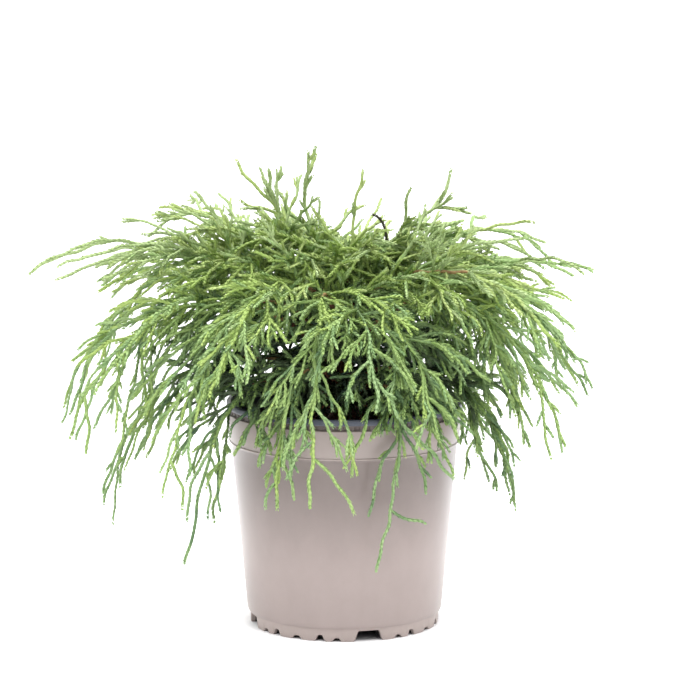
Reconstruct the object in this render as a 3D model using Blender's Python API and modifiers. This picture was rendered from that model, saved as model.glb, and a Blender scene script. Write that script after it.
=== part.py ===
"""Threadleaf sawara cypress in a plastic nursery pot.

A low weeping mound: a short leaning trunk, boughs that rise and bend outwards,
and sprays of thread-like twigs that arch from their tips and hang over the pot's lip.

Metres, +Z up. The origin is the middle of the pot's underside, on the ground plane.
+X runs to the plant's right and +Y to its back, as seen from the front.
"""

import math
import random

import bmesh
import bpy
import numpy as np
from mathutils import Matrix, Vector


# Driving dimensions of the pot
POT_HEIGHT = 0.163
LIP_RADIUS = 0.085
LIP_HEIGHT = 0.0042
LIP_ROUND = 0.001
NECK_HEIGHT = 0.0036
NECK_RADIUS = 0.0832
BAND_TOP_RADIUS = 0.08455
BAND_FOOT_Z = 0.1345
BAND_FOOT_RADIUS = 0.08304
STEP_Z = 0.132
STEP_RADIUS = 0.0816
BODY_FOOT_Z = 0.0135
BODY_FOOT_RADIUS = 0.0707
STEP_LINE_RADIUS = 0.06955
WALL = 0.0015

# Driving dimensions of the pot's foot
FOOT_HEIGHT = 0.0095
FOOT_TOP_RADIUS = 0.0684
FOOT_RADIUS = 0.06804
FOOT_INNER_RADIUS = 0.058
FLOOR_UNDERSIDE_Z = 0.0078
FLOOR_Z = 0.0096
BOSS_RADIUS = 0.022
TUNNEL_COUNT = 4
TUNNEL_AZIMUTH = -75.0
TUNNEL_WIDTH = 0.0205
TUNNEL_TOP_WIDTH = 0.016
TUNNEL_HEIGHT = 0.0077
NOTCH_TOP_SHARE = 0.62
CUT_DEPTH = 0.016
CUT_BELOW = 0.002
# Notches between two tunnels: degrees off the middle, width, height
NOTCHES = (
    (-25.5, 0.0062, 0.0026),
    (-15.2, 0.0066, 0.0045),
    (0.0, 0.0078, 0.0026),
    (15.2, 0.0066, 0.0045),
    (25.5, 0.0062, 0.0026),
)
POT_STEPS = 48

# Driving dimensions of the potting soil
SOIL_TOP = 0.1495
SOIL_FLAT_RADIUS = 0.024
SOIL_EDGE_DROP = 0.0035
SOIL_STEPS = 32
CLEARANCE = 0.0003
SOIL_CLEARANCE = 0.0005

# Driving dimensions of the trunk
TRUNK_FOOT = SOIL_TOP + CLEARANCE
TRUNK_TIP = 0.240
TRUNK_LEAN = -0.009
TRUNK_BACK_LEAN = 0.002
TRUNK_FOOT_RADIUS = 0.0072
TRUNK_TIP_RADIUS = 0.004
ROOT_FLARE = 0.0055
FLARE_SHARE = 0.06
FLARE_HEIGHT = 0.008
FLARE_MIDDLE = 0.4
TRUNK_RINGS = 6
TRUNK_SIDES = 8

# Driving dimensions of the boughs and the twigs
BOUGH_ROOT_RADIUS = 0.0027
BOUGH_TIP_RADIUS = 0.0016
BOUGH_POINTS = 5
BOUGH_SIDES = 5
STEM_TIP_RADIUS = 0.0010
STEM_POINTS = 7
TWIG_ROOT_RADIUS = 0.0006
TWIG_RADIUS = 0.0020
TWIG_TIP_RADIUS = 0.0007
TWIG_POINTS = 3
TWIG_SIDES = 3
SIDE_TWIGS = 9
FIRST_TWIG = 0.06
SUB_TWIGS = 5
SUB_TWIG_SHARE = 0.55
LEAF_LENGTH = 0.0085
LEAF_RADIUS = 0.0007
LEAF_ANGLE = 38.0
LEAF_ROLL = 70.0
LEAVES = 6
# How far a limb's start is sunk in, as a share of its parent's radius there
ROOT_DEPTH = 0.5

# A stem's curve: its two handles, as shares of the way from its start to its tip
START_HANDLE = 0.45
TIP_HANDLE = 0.42

# A side twig's draws, in degrees off its stem and of roll about it
TWIG_ANGLES = (30, 56)
WIDE_ANGLES = (48, 84)
WIDE_SHARE = 0.25
TWIG_ROLLS = (-30, 40)
LENGTH_DRAWS = (0.7, 1.15)
FALL_DRAWS = (0.7, 1.2)
STEP_DRAWS = (0.15, 0.85)
MIDDLE_OF_TWIG = (0.3, 0.7)
# How much shorter side twigs grow from a stem's start to its tip, as a share
TAPER = 0.6
CREST_TAPER = 1.15
# How much a side twig keeps to its stem's direction as it turns down
FOLLOW = 0.35
CREST_FALL = 0.5
MOST_FALL = 0.95
# A twig is upright where its direction is this near to plumb, as a sine
UPRIGHT = 0.25

# The room that each twig needs and the reach that it keeps to
ROOM = 0.0012
TRIES = 8
SHORTER_EACH_TRY = 0.07
CREST_FOLD_Z = 0.285
CROWN_TOP = 0.3465
HEART_REACH = 0.088
HEART_FOOT = 0.24
OVERSHOOT = 0.003
OVERHANG = 0.012
SAMPLES = 6
SEED = 39

# Finishes: sRGB colour and roughness
POT_FINISH = ("A99B94", 0.45)
SOIL_FINISH = ("2B221C", 0.95)
BARK_FINISH = ("6B4A33", 0.85)
FOLIAGE_FINISH = ("5E8A38", 0.6)
SHARP_ANGLE = 40

UP = np.array((0.0, 0.0, 1.0))

# How each tier of the crown grows. roots: heights where its boughs leave the trunk, in turn.
# rise and flat: a bough's slope at its root and its tip, in degrees. share: length of the
# lowest side twigs over the length of the stem. spread: the part of the stem that they
# leave. droop: how much a side twig turns down.
TIERS = {
    "skirt": {
        "roots": (0.1595, 0.170), "rise": 42, "flat": 12, "length": 0.048,
        "share": 0.52, "spread": 0.84, "droop": 0.85,
    },
    "mantle": {
        "roots": (0.1795, 0.189, 0.1985), "rise": 62, "flat": 34, "length": 0.056,
        "share": 0.58, "spread": 0.84, "droop": 0.62,
    },
    "shoulder": {
        "roots": (0.2095, 0.219), "rise": 60, "flat": 26, "length": 0.040,
        "share": 0.58, "spread": 0.80, "droop": 0.45,
    },
    "crest": {
        "roots": (0.2305, 0.2355), "rise": 66, "flat": 66, "length": 0.0,
        "share": 0.80, "spread": 0.40, "droop": 0.10,
    },
}

# Where each spray ends: azimuth in degrees, reach from the axis and height in mm, and how
# many degrees its tip hangs below the level. Past -90 the tip rises and leans back in.
TIPS = {
    "skirt": (
        (-148, 132, 58, 74), (-115, 112, 104, 82), (-77, 102, 60, 74), (-53, 126, 127, 50),
        (-14, 126, 94, 78), (38, 136, 84, 74), (104, 134, 84, 78), (176, 175, 83, 78),
    ),
    "mantle": (
        (-162, 203, 148, 74), (-140, 164, 114, 76), (-100, 135, 112, 76),
        (-61, 132, 157, 70), (-22, 168, 142, 68), (18, 180, 164, 62),
        (62, 176, 138, 66), (112, 178, 132, 66), (162, 219, 147, 70),
    ),
    "shoulder": (
        (-177, 224, 257, 32), (146, 164, 290, 8), (88, 156, 250, 34), (35, 182, 263, 24),
        (-3, 177, 259, 10), (-36, 182, 218, 50), (-80, 130, 178, 70), (-124, 156, 196, 62),
    ),
    "crest": (
        (174, 78, 334, -50), (140, 27, 343, -116), (70, 78, 300, -40),
        (14, 80, 326, -74), (-50, 20, 330, -72),
    ),
}

# Sprays whose outer part is a bare whip: the share of the stem that bears twigs
WHIPS = {
    "skirt_foliage_1": 0.56, "skirt_foliage_3": 0.36, "skirt_foliage_4": 0.40,
    "shoulder_foliage_1": 0.66,
}

# Sprays that swing sideways: how many degrees their bough leaves to one side of their tip,
# and how many their tip points to the other
SWAYS = {"skirt_foliage_3": (16, 74)}


# The scene and its materials

def clear_scene():
    for item in list(bpy.data.objects):
        bpy.data.objects.remove(item, do_unlink=True)


def new_collection(name):
    collection = bpy.data.collections.new(name)
    bpy.context.scene.collection.children.link(collection)
    return collection


def linear(channel):
    if channel <= 0.04045:
        return channel / 12.92
    return ((channel + 0.055) / 1.055) ** 2.4


def make_material(name, colour, roughness):
    """A Principled material from an sRGB hex colour."""
    material = bpy.data.materials.new(name)
    material.use_nodes = True
    shader = material.node_tree.nodes["Principled BSDF"]
    channels = [int(colour[i:i + 2], 16) / 255 for i in (0, 2, 4)]
    rgba = [linear(channel) for channel in channels] + [1.0]
    shader.inputs["Base Color"].default_value = rgba
    shader.inputs["Roughness"].default_value = roughness
    shader.inputs["Metallic"].default_value = 0.0
    material.diffuse_color = rgba
    return material


def add_object(name, mesh, collection):
    item = bpy.data.objects.new(name, mesh)
    collection.objects.link(item)
    return item


def finish(item, look, sharp_angle=None):
    """Gives an object its own material, and smooth shading where it is round."""
    item.data.materials.clear()
    item.data.materials.append(make_material(item.name, *look))
    if sharp_angle is not None:
        item.data.shade_smooth()
        item.data.set_sharp_from_angle(angle=math.radians(sharp_angle))


# Meshes from turned profiles, curves and cuts

def weld(mesh):
    """Closes the loose caps of a curve's mesh and turns its faces outwards."""
    work = bmesh.new()
    work.from_mesh(mesh)
    bmesh.ops.remove_doubles(work, verts=work.verts, dist=1e-6)
    bmesh.ops.recalc_face_normals(work, faces=work.faces)
    work.to_mesh(mesh)
    work.free()


def evaluated_mesh(item):
    graph = bpy.context.evaluated_depsgraph_get()
    return bpy.data.meshes.new_from_object(item.evaluated_get(graph))


def turned(name, profile, steps, collection):
    """Turns a profile of (radius, height) points about +Z."""
    mesh = bpy.data.meshes.new(name)
    points = [(radius, 0.0, height) for radius, height in profile]
    edges = [(i, i + 1) for i in range(len(points) - 1)]
    mesh.from_pydata(points, edges, [])
    item = add_object(name, mesh, collection)
    screw = item.modifiers.new("Turn", "SCREW")
    screw.axis = "Z"
    screw.steps = steps
    screw.render_steps = steps
    screw.use_merge_vertices = True
    screw.merge_threshold = 0.0001
    screw.use_smooth_shade = True
    return item


def section(sides, guides):
    """The cross-section of a limb or a twig: a polygon of radius 1, used as a bevel object."""
    name = "section_%d" % sides
    if name in guides.objects:
        return guides.objects[name]
    curve = bpy.data.curves.new(name, "CURVE")
    spline = curve.splines.new("POLY")
    spline.points.add(sides - 1)
    for i, point in enumerate(spline.points):
        angle = 2 * math.pi * i / sides
        point.co = (math.cos(angle), math.sin(angle), 0.0, 1.0)
    spline.use_cyclic_u = True
    item = bpy.data.objects.new(name, curve)
    item.display_type = "WIRE"
    item.hide_render = True
    guides.objects.link(item)
    return item


def tube(name, points, radii, sides, collection, guides):
    """A tapering limb along the points, as a closed mesh."""
    curve = bpy.data.curves.new(name, "CURVE")
    curve.dimensions = "3D"
    curve.bevel_mode = "OBJECT"
    curve.bevel_object = section(sides, guides)
    curve.use_fill_caps = True
    spline = curve.splines.new("POLY")
    spline.points.add(len(points) - 1)
    for slot, point, radius in zip(spline.points, points, radii):
        slot.co = (point[0], point[1], point[2], 1.0)
        slot.radius = radius
    route = bpy.data.objects.new(name + "_route", curve)
    collection.objects.link(route)
    mesh = evaluated_mesh(route)
    mesh.name = name
    weld(mesh)
    item = add_object(name, mesh, collection)
    item.matrix_world = route.matrix_world
    bpy.data.objects.remove(route, do_unlink=True)
    return item


def apply_modifiers(item):
    mesh = evaluated_mesh(item)
    item.modifiers.clear()
    item.data = mesh


def join_all(item, pieces):
    """Unites an object with every object of a collection, which is then removed."""
    union = item.modifiers.new("Union", "BOOLEAN")
    union.operation = "UNION"
    union.operand_type = "COLLECTION"
    union.collection = pieces
    union.solver = "EXACT"
    apply_modifiers(item)
    for piece in list(pieces.objects):
        bpy.data.objects.remove(piece, do_unlink=True)
    bpy.data.collections.remove(pieces)


def shells(work):
    """The separate closed shells of a mesh, as lists of faces."""
    left = set(work.faces)
    found = []
    while left:
        front = [left.pop()]
        shell = []
        while front:
            face = front.pop()
            shell.append(face)
            for edge in face.edges:
                for other in edge.link_faces:
                    if other in left:
                        left.remove(other)
                        front.append(other)
        found.append(shell)
    return found


def keep_main_shell(item):
    """Fills a sealed hollow and drops loose scraps: only the largest shell stays."""
    work = bmesh.new()
    work.from_mesh(item.data)
    bmesh.ops.triangulate(work, faces=work.faces)
    found = sorted(shells(work), key=len)
    for shell in found[:-1]:
        bmesh.ops.delete(work, geom=shell, context="FACES")
    loose = [vertex for vertex in work.verts if not vertex.link_faces]
    bmesh.ops.delete(work, geom=loose, context="VERTS")
    work.to_mesh(item.data)
    work.free()


# The growing rule

def unit(vector):
    return vector / np.linalg.norm(vector)


def heading(azimuth, slope):
    """The direction of an azimuth and a slope above the level, in degrees."""
    a = math.radians(azimuth)
    e = math.radians(slope)
    return np.array((math.cos(a) * math.cos(e), math.sin(a) * math.cos(e), math.sin(e)))


def bezier(a, b, c, d, count):
    t = np.linspace(0, 1, count)[:, None]
    return (1 - t) ** 3 * a + 3 * (1 - t) ** 2 * t * b + 3 * (1 - t) * t * t * c + t ** 3 * d


def bend(start, first, last, length, count):
    """A path that leaves in one direction and turns smoothly to another."""
    middle = unit(first + last)
    second = start + first * length / 3
    third = second + middle * length / 3
    return bezier(start, second, third, third + last * length / 3, count)


def trunk_axis(z):
    s = (z - TRUNK_FOOT) / (TRUNK_TIP - TRUNK_FOOT)
    return np.array((TRUNK_LEAN * s * s, TRUNK_BACK_LEAN * s * s, z))


def trunk_radius(z):
    s = (z - TRUNK_FOOT) / (TRUNK_TIP - TRUNK_FOOT)
    taper = TRUNK_FOOT_RADIUS + (TRUNK_TIP_RADIUS - TRUNK_FOOT_RADIUS) * s
    return taper + ROOT_FLARE * math.exp(-s / FLARE_SHARE)


def bough_path(tier, index, azimuth):
    """A bough's points from inside the trunk, and the direction of its tip."""
    rule = TIERS[tier]
    z = rule["roots"][index % len(rule["roots"])]
    first = heading(azimuth, rule["rise"])
    last = heading(azimuth, rule["flat"])
    root = trunk_axis(z) + heading(azimuth, 0) * trunk_radius(z) * ROOT_DEPTH
    return bend(root, first, last, rule["length"], BOUGH_POINTS), last


def stem_start(tier, index, azimuth):
    """Where a spray's stem begins, and its direction there."""
    rule = TIERS[tier]
    if rule["length"] > 0:
        path, last = bough_path(tier, index, azimuth)
        return path[-1] + last * CLEARANCE, last
    first = heading(azimuth, rule["rise"])
    z = rule["roots"][index % len(rule["roots"])]
    return trunk_axis(z) + heading(azimuth, 0) * trunk_radius(z) * ROOT_DEPTH, first


def sways_of(tier, index):
    return SWAYS.get("%s_foliage_%d" % (tier, index + 1), (0, 0))


def stem_path(tier, index, tip, count):
    """A spray's stem arches from its start to the spray's tip."""
    azimuth, reach, height, hang = tip
    bough_sway, tip_sway = sways_of(tier, index)
    start, first = stem_start(tier, index, azimuth + bough_sway)
    end = heading(azimuth, 0) * reach / 1000 + UP * height / 1000
    span = np.linalg.norm(end - start)
    last = heading(azimuth - tip_sway, -hang)
    second = start + first * span * START_HANDLE
    third = end - last * span * TIP_HANDLE
    return bezier(start, second, third, end, count)


def along(path, share):
    """The point and the direction at a share of a path's length."""
    steps = np.diff(path, axis=0)
    lengths = np.linalg.norm(steps, axis=1)
    marks = np.concatenate(([0.0], np.cumsum(lengths)))
    place = share * marks[-1]
    k = int(np.clip(np.searchsorted(marks, place) - 1, 0, len(steps) - 1))
    ahead = steps[k] / lengths[k]
    return path[k] + ahead * (place - marks[k]), ahead


def path_length(path):
    return float(np.linalg.norm(np.diff(path, axis=0), axis=1).sum())


def side_direction(point, ahead, side, angle, roll):
    """Leaves a twig sideways by an angle, on the given side, rolled about the twig."""
    across = np.cross(UP, ahead)
    is_upright = np.linalg.norm(across) < UPRIGHT
    if is_upright:
        across = np.cross(UP, (point[0], point[1], 0.0))
    across = unit(across)
    over = unit(np.cross(ahead, across))
    outward = across * side * math.cos(roll) + over * math.sin(roll)
    return unit(ahead * math.cos(angle) + outward * math.sin(angle))


def side_twig(tier, rng, path, share_along, side, share):
    """One side twig: it leaves the stem at a narrow angle and turns down as its tier droops."""
    point, ahead = along(path, share_along)
    low_on_crest = tier == "crest" and point[2] < CREST_FOLD_Z
    is_near_heart = low_on_crest or share_along < WIDE_SHARE
    angles = WIDE_ANGLES if is_near_heart else TWIG_ANGLES
    angle = math.radians(rng.uniform(*angles))
    roll = math.radians(rng.uniform(*TWIG_ROLLS))
    first = side_direction(point, ahead, side, angle, roll)
    taper = CREST_TAPER if tier == "crest" else TAPER
    length = path_length(path) * share * (1 - taper * share_along) * rng.uniform(*LENGTH_DRAWS)
    fall = TIERS[tier]["droop"] * rng.uniform(*FALL_DRAWS)
    if low_on_crest:
        fall = CREST_FALL
    last = unit(first * (1 - min(fall, MOST_FALL)) + ahead * FOLLOW - UP * fall)
    return bend(point, first, last, length, TWIG_POINTS)


class Space:
    """The room that limbs and twigs have taken, as thick segments with their owners."""

    def __init__(self):
        self.starts = []
        self.ends = []
        self.radii = []
        self.owners = []

    def take(self, path, radius, owner):
        for a, b in zip(path[:-1], path[1:]):
            self.starts.append(a)
            self.ends.append(b)
            self.radii.append(radius)
            self.owners.append(owner)

    def is_free(self, path, radius, owner):
        """Whether a path stays clear of the pot, the soil and every other owner's segments."""
        runs = [np.linspace(a, b, SAMPLES) for a, b in zip(path[:-1], path[1:])]
        points = np.concatenate(runs)
        if not all(clear_of_pot(point, radius) for point in points):
            return False
        others = np.array([other != owner for other in self.owners])
        if not others.any():
            return True
        starts = np.array(self.starts)[others]
        runs = np.array(self.ends)[others] - starts
        radii = np.array(self.radii)[others]
        offsets = points[:, None, :] - starts[None]
        share = (offsets * runs).sum(axis=2) / (runs * runs).sum(axis=1)
        share = np.clip(share, 0, 1)[:, :, None]
        gaps = np.linalg.norm(offsets - share * runs, axis=2) - radii - radius
        return gaps.min() > ROOM


def clear_of_pot(point, radius):
    room = radius + ROOM
    reach = math.hypot(point[0], point[1])
    if point[2] > POT_HEIGHT + room or reach > LIP_RADIUS + room:
        return True
    return reach < STEP_RADIUS - WALL - room and point[2] > SOIL_TOP + room


# The sub-parts

def pot_profile():
    lip_foot = POT_HEIGHT - LIP_HEIGHT
    band_top = lip_foot - NECK_HEIGHT
    inner_lip = NECK_RADIUS - WALL
    return (
        (0.0, FLOOR_Z),
        (FOOT_TOP_RADIUS - 2 * WALL, FLOOR_Z),
        (BODY_FOOT_RADIUS - WALL, BODY_FOOT_Z + WALL),
        (STEP_RADIUS - WALL, STEP_Z),
        (BAND_FOOT_RADIUS - WALL, BAND_FOOT_Z + WALL),
        (inner_lip, POT_HEIGHT - LIP_ROUND),
        (inner_lip + LIP_ROUND, POT_HEIGHT),
        (LIP_RADIUS - LIP_ROUND, POT_HEIGHT),
        (LIP_RADIUS, POT_HEIGHT - LIP_ROUND),
        (LIP_RADIUS, lip_foot + LIP_ROUND),
        (LIP_RADIUS - LIP_ROUND, lip_foot),
        (NECK_RADIUS, lip_foot),
        (NECK_RADIUS, band_top),
        (BAND_TOP_RADIUS, band_top),
        (BAND_FOOT_RADIUS, BAND_FOOT_Z),
        (STEP_RADIUS, STEP_Z),
        (BODY_FOOT_RADIUS, BODY_FOOT_Z),
        (STEP_LINE_RADIUS, FOOT_HEIGHT),
        (FOOT_TOP_RADIUS, FOOT_HEIGHT),
        (FOOT_RADIUS, 0.0),
        (FOOT_INNER_RADIUS, 0.0),
        (FOOT_INNER_RADIUS, FLOOR_UNDERSIDE_Z),
        (BOSS_RADIUS, FLOOR_UNDERSIDE_Z),
        (BOSS_RADIUS, 0.0),
        (0.0, 0.0),
    )


def foot_cutter(name, azimuth, width, top_width, height, collection):
    """A block that cuts a notch or a tunnel through the foot's ring from below."""
    mesh = bpy.data.meshes.new(name)
    work = bmesh.new()
    bmesh.ops.create_cube(work, size=1.0)
    for vertex in work.verts:
        is_top = vertex.co.z > 0
        vertex.co.x *= CUT_DEPTH
        vertex.co.y *= top_width if is_top else width
        vertex.co.z = height if is_top else -CUT_BELOW
    work.to_mesh(mesh)
    work.free()
    cutter = add_object(name, mesh, collection)
    middle = (FOOT_RADIUS + FOOT_INNER_RADIUS) / 2
    angle = math.radians(azimuth)
    cutter.location = (math.cos(angle) * middle, math.sin(angle) * middle, 0.0)
    cutter.rotation_euler = (0.0, 0.0, angle)
    cutter.display_type = "WIRE"
    cutter.hide_render = True


def make_pot(parts, cutters):
    """The taupe two-tone pot: lip, neck, band, tapering body, and a foot cut for drainage."""
    pot = turned("pot", pot_profile(), POT_STEPS, parts)
    quarter = 360 / TUNNEL_COUNT
    for i in range(TUNNEL_COUNT):
        azimuth = TUNNEL_AZIMUTH + quarter * i
        foot_cutter("tunnel", azimuth, TUNNEL_WIDTH, TUNNEL_TOP_WIDTH, TUNNEL_HEIGHT, cutters)
        for offset, width, height in NOTCHES:
            top_width = width * NOTCH_TOP_SHARE
            foot_cutter("notch", azimuth + quarter / 2 + offset, width, top_width, height, cutters)
    cut = pot.modifiers.new("Foot cuts", "BOOLEAN")
    cut.operation = "DIFFERENCE"
    cut.operand_type = "COLLECTION"
    cut.collection = cutters
    finish(pot, POT_FINISH)


def make_soil(parts):
    """The potting soil fills the pot to below its lip."""
    gap = WALL + SOIL_CLEARANCE
    foot = FLOOR_Z + SOIL_CLEARANCE
    slope = (STEP_RADIUS - BODY_FOOT_RADIUS) / (STEP_Z - BODY_FOOT_Z)
    edge_z = SOIL_TOP - SOIL_EDGE_DROP
    profile = (
        (0.0, SOIL_TOP),
        (SOIL_FLAT_RADIUS, SOIL_TOP),
        (BAND_FOOT_RADIUS - gap, edge_z),
        (BAND_FOOT_RADIUS - gap, BAND_FOOT_Z + 2 * WALL),
        (STEP_RADIUS - gap, STEP_Z - WALL),
        (BODY_FOOT_RADIUS - gap + slope * WALL, BODY_FOOT_Z + WALL),
        (FOOT_TOP_RADIUS - 2 * gap, foot),
        (0.0, foot),
    )
    soil = turned("potting_soil", profile, SOIL_STEPS, parts)
    finish(soil, SOIL_FINISH)


def make_trunk(name, grow_by, parts, guides):
    """The trunk, from its flat cut on the soil to its tip. grow_by widens it, for a cutter."""
    heights = [TRUNK_FOOT, TRUNK_FOOT + FLARE_HEIGHT * FLARE_MIDDLE]
    heights += list(np.linspace(TRUNK_FOOT + FLARE_HEIGHT, TRUNK_TIP + grow_by, TRUNK_RINGS))
    points = [trunk_axis(z) for z in heights]
    points[0] = np.array((points[1][0], points[1][1], TRUNK_FOOT))
    radii = [trunk_radius(z) + grow_by for z in heights]
    return tube(name, points, radii, TRUNK_SIDES, parts, guides)


def cut_by(item, cutter):
    cut = item.modifiers.new("Trunk clearance", "BOOLEAN")
    cut.operation = "DIFFERENCE"
    cut.object = cutter
    apply_modifiers(item)
    keep_main_shell(item)


def make_bough(name, path, parts, guides, cutter):
    radii = np.linspace(BOUGH_ROOT_RADIUS, BOUGH_TIP_RADIUS, len(path))
    bough = tube(name, path, radii, BOUGH_SIDES, parts, guides)
    cut_by(bough, cutter)
    finish(bough, BARK_FINISH, SHARP_ANGLE)


def leaf(name, point, direction, collection):
    """A scale leaf that stands out of its twig: a slim three-sided cone, sunk in at its root."""
    mesh = bpy.data.meshes.new(name)
    work = bmesh.new()
    bmesh.ops.create_cone(
        work, cap_ends=True, cap_tris=True, segments=3,
        radius1=LEAF_RADIUS, radius2=0.0, depth=LEAF_LENGTH,
    )
    turn = Vector(direction).to_track_quat("Z", "Y").to_matrix().to_4x4()
    place = Matrix.Translation(Vector(point + direction * LEAF_LENGTH * 0.5))
    bmesh.ops.transform(work, matrix=place @ turn, verts=work.verts)
    bmesh.ops.recalc_face_normals(work, faces=work.faces)
    work.to_mesh(mesh)
    work.free()
    add_object(name, mesh, collection)


class Spray:
    """One mass of foliage: a stem and the twigs and leaves that found room on it."""

    def __init__(self, tier, index, tip):
        self.name = "%s_foliage_%d" % (tier, index + 1)
        self.tier = tier
        self.rng = random.Random(SEED + 100 * list(TIERS).index(tier) + index)
        self.stem = stem_path(tier, index, tip, STEM_POINTS)
        self.reach = max(tip[1] / 1000, HEART_REACH) + OVERSHOOT
        self.lowest = min(tip[2] / 1000, HEART_FOOT) - OVERHANG
        self.spread = WHIPS.get(self.name, TIERS[tier]["spread"])
        self.twigs = []
        self.leaves = []
        self.side = self.rng.choice((-1, 1))

    def keeps_in(self, path):
        """Whether a path stays within the spray's own reach, above its hem and below the top."""
        reach = np.hypot(path[:, 0], path[:, 1]).max()
        lowest = path[:, 2].min()
        return reach < self.reach and lowest > self.lowest and path[:, 2].max() < CROWN_TOP

    def grow_twig(self, path, share_along, share, space):
        """Tries a few draws of a side twig and keeps the first that has room."""
        self.side = -self.side
        for attempt in range(TRIES):
            shorter = share * (1 - SHORTER_EACH_TRY * attempt)
            twig = side_twig(self.tier, self.rng, path, share_along, self.side, shorter)
            if self.keeps_in(twig) and space.is_free(twig, TWIG_RADIUS, self.name):
                space.take(twig, TWIG_RADIUS, self.name)
                self.twigs.append(twig)
                return

    def grow_leaf(self, path, share_along, space):
        point, ahead = along(path, share_along)
        self.side = -self.side
        angle = math.radians(LEAF_ANGLE)
        roll = math.radians(self.rng.uniform(-LEAF_ROLL, LEAF_ROLL))
        direction = side_direction(point, ahead, self.side, angle, roll)
        reach = np.array((point, point + direction * LEAF_LENGTH))
        if space.is_free(reach, LEAF_RADIUS, self.name):
            space.take(reach, LEAF_RADIUS, self.name)
            self.leaves.append((point, direction))


def grow_crown():
    """Runs the growing rule over every spray in turn, so that all get an even share of room."""
    space = Space()
    sprays = []
    boughs = []
    for tier, tips in TIPS.items():
        for index, tip in enumerate(tips):
            spray = Spray(tier, index, tip)
            sprays.append(spray)
            space.take(spray.stem, BOUGH_TIP_RADIUS, spray.name)
            if TIERS[tier]["length"] > 0:
                path, _ = bough_path(tier, index, tip[0] + sways_of(tier, index)[0])
                name = "%s_bough_%d" % (tier, index + 1)
                boughs.append((name, path))
                space.take(path, BOUGH_ROOT_RADIUS, name)
    heights = np.linspace(TRUNK_FOOT, TRUNK_TIP, SAMPLES)
    space.take([trunk_axis(z) for z in heights], TRUNK_FOOT_RADIUS, "trunk")
    for turn in range(SIDE_TWIGS):
        for spray in sprays:
            rule = TIERS[spray.tier]
            step = (turn + spray.rng.uniform(*STEP_DRAWS)) / SIDE_TWIGS
            place = FIRST_TWIG + spray.spread * step
            spray.grow_twig(spray.stem, place, rule["share"], space)
    for spray in sprays:
        side_twigs = list(spray.twigs)
        for twig in side_twigs[:SUB_TWIGS]:
            spray.grow_twig(twig, spray.rng.uniform(*MIDDLE_OF_TWIG), SUB_TWIG_SHARE, space)
        for twig in spray.rng.sample(spray.twigs, min(LEAVES, len(spray.twigs))):
            spray.grow_leaf(twig, spray.rng.uniform(*MIDDLE_OF_TWIG), space)
    return boughs, sprays


def make_spray(spray, parts, guides, cutter):
    """Builds a mass: the stem, with its twigs and leaves fused on by one union."""
    radii = np.linspace(BOUGH_TIP_RADIUS, STEM_TIP_RADIUS, len(spray.stem))
    stem = tube(spray.name, spray.stem, radii, TWIG_SIDES, parts, guides)
    pieces = new_collection(spray.name + "_pieces")
    widths = (TWIG_ROOT_RADIUS, TWIG_RADIUS, TWIG_TIP_RADIUS)
    for i, twig in enumerate(spray.twigs):
        tube("%s_twig_%d" % (spray.name, i), twig, widths, TWIG_SIDES, pieces, guides)
    for i, (point, direction) in enumerate(spray.leaves):
        leaf("%s_leaf_%d" % (spray.name, i), point, direction, pieces)
    join_all(stem, pieces)
    keep_main_shell(stem)
    if spray.tier == "crest":
        cut_by(stem, cutter)
    finish(stem, FOLIAGE_FINISH)


def main():
    clear_scene()
    parts = new_collection("sawara_cypress_in_pot")
    cutters = new_collection("foot_cutters")
    guides = new_collection("guides")
    trunk = make_trunk("trunk", 0.0, parts, guides)
    finish(trunk, BARK_FINISH, SHARP_ANGLE)
    trunk_cutter = make_trunk("trunk_clearance", CLEARANCE, guides, guides)
    trunk_cutter.display_type = "WIRE"
    trunk_cutter.hide_render = True
    boughs, sprays = grow_crown()
    for name, path in boughs:
        make_bough(name, path, parts, guides, trunk_cutter)
    for spray in sprays:
        make_spray(spray, parts, guides, trunk_cutter)
    make_soil(parts)
    make_pot(parts, cutters)


main()
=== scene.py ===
"""Looks of a threadleaf sawara cypress in its plastic nursery pot.

Each mass of foliage grows by the rule of its solid, carried on to finer threads. A thread is
a slim twig clad in pairs of pointed scale leaves. The limbs get bark with relief, the pot its
mouldings and its dark lining, and the soil its crumbs and chips.

Metres, +Z up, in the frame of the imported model. +X runs to the plant's right, +Y to its back.
"""

import math
import random

import bmesh
import bpy
import numpy as np
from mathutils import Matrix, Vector, noise


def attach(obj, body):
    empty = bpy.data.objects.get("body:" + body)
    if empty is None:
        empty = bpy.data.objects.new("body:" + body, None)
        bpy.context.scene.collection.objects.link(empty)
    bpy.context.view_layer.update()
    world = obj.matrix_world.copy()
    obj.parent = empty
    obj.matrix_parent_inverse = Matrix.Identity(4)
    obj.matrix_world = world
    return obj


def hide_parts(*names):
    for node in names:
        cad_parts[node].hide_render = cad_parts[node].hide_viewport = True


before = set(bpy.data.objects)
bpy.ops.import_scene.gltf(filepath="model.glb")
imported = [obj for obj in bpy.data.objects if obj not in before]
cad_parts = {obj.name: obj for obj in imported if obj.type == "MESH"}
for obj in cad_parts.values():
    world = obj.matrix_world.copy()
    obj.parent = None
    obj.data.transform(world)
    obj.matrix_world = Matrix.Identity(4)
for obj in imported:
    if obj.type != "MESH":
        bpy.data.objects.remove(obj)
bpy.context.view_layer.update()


# The pot, as in its solid
POT_HEIGHT = 0.163
LIP_RADIUS = 0.085
LIP_HEIGHT = 0.0042
LIP_ROUND = 0.001
NECK_HEIGHT = 0.0036
NECK_RADIUS = 0.0832
BAND_TOP_RADIUS = 0.08455
BAND_FOOT_Z = 0.1345
BAND_FOOT_RADIUS = 0.08304
STEP_Z = 0.132
STEP_RADIUS = 0.0816
BODY_FOOT_Z = 0.0135
BODY_FOOT_RADIUS = 0.0707
STEP_LINE_RADIUS = 0.06955
WALL = 0.0015
FOOT_HEIGHT = 0.0095
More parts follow.
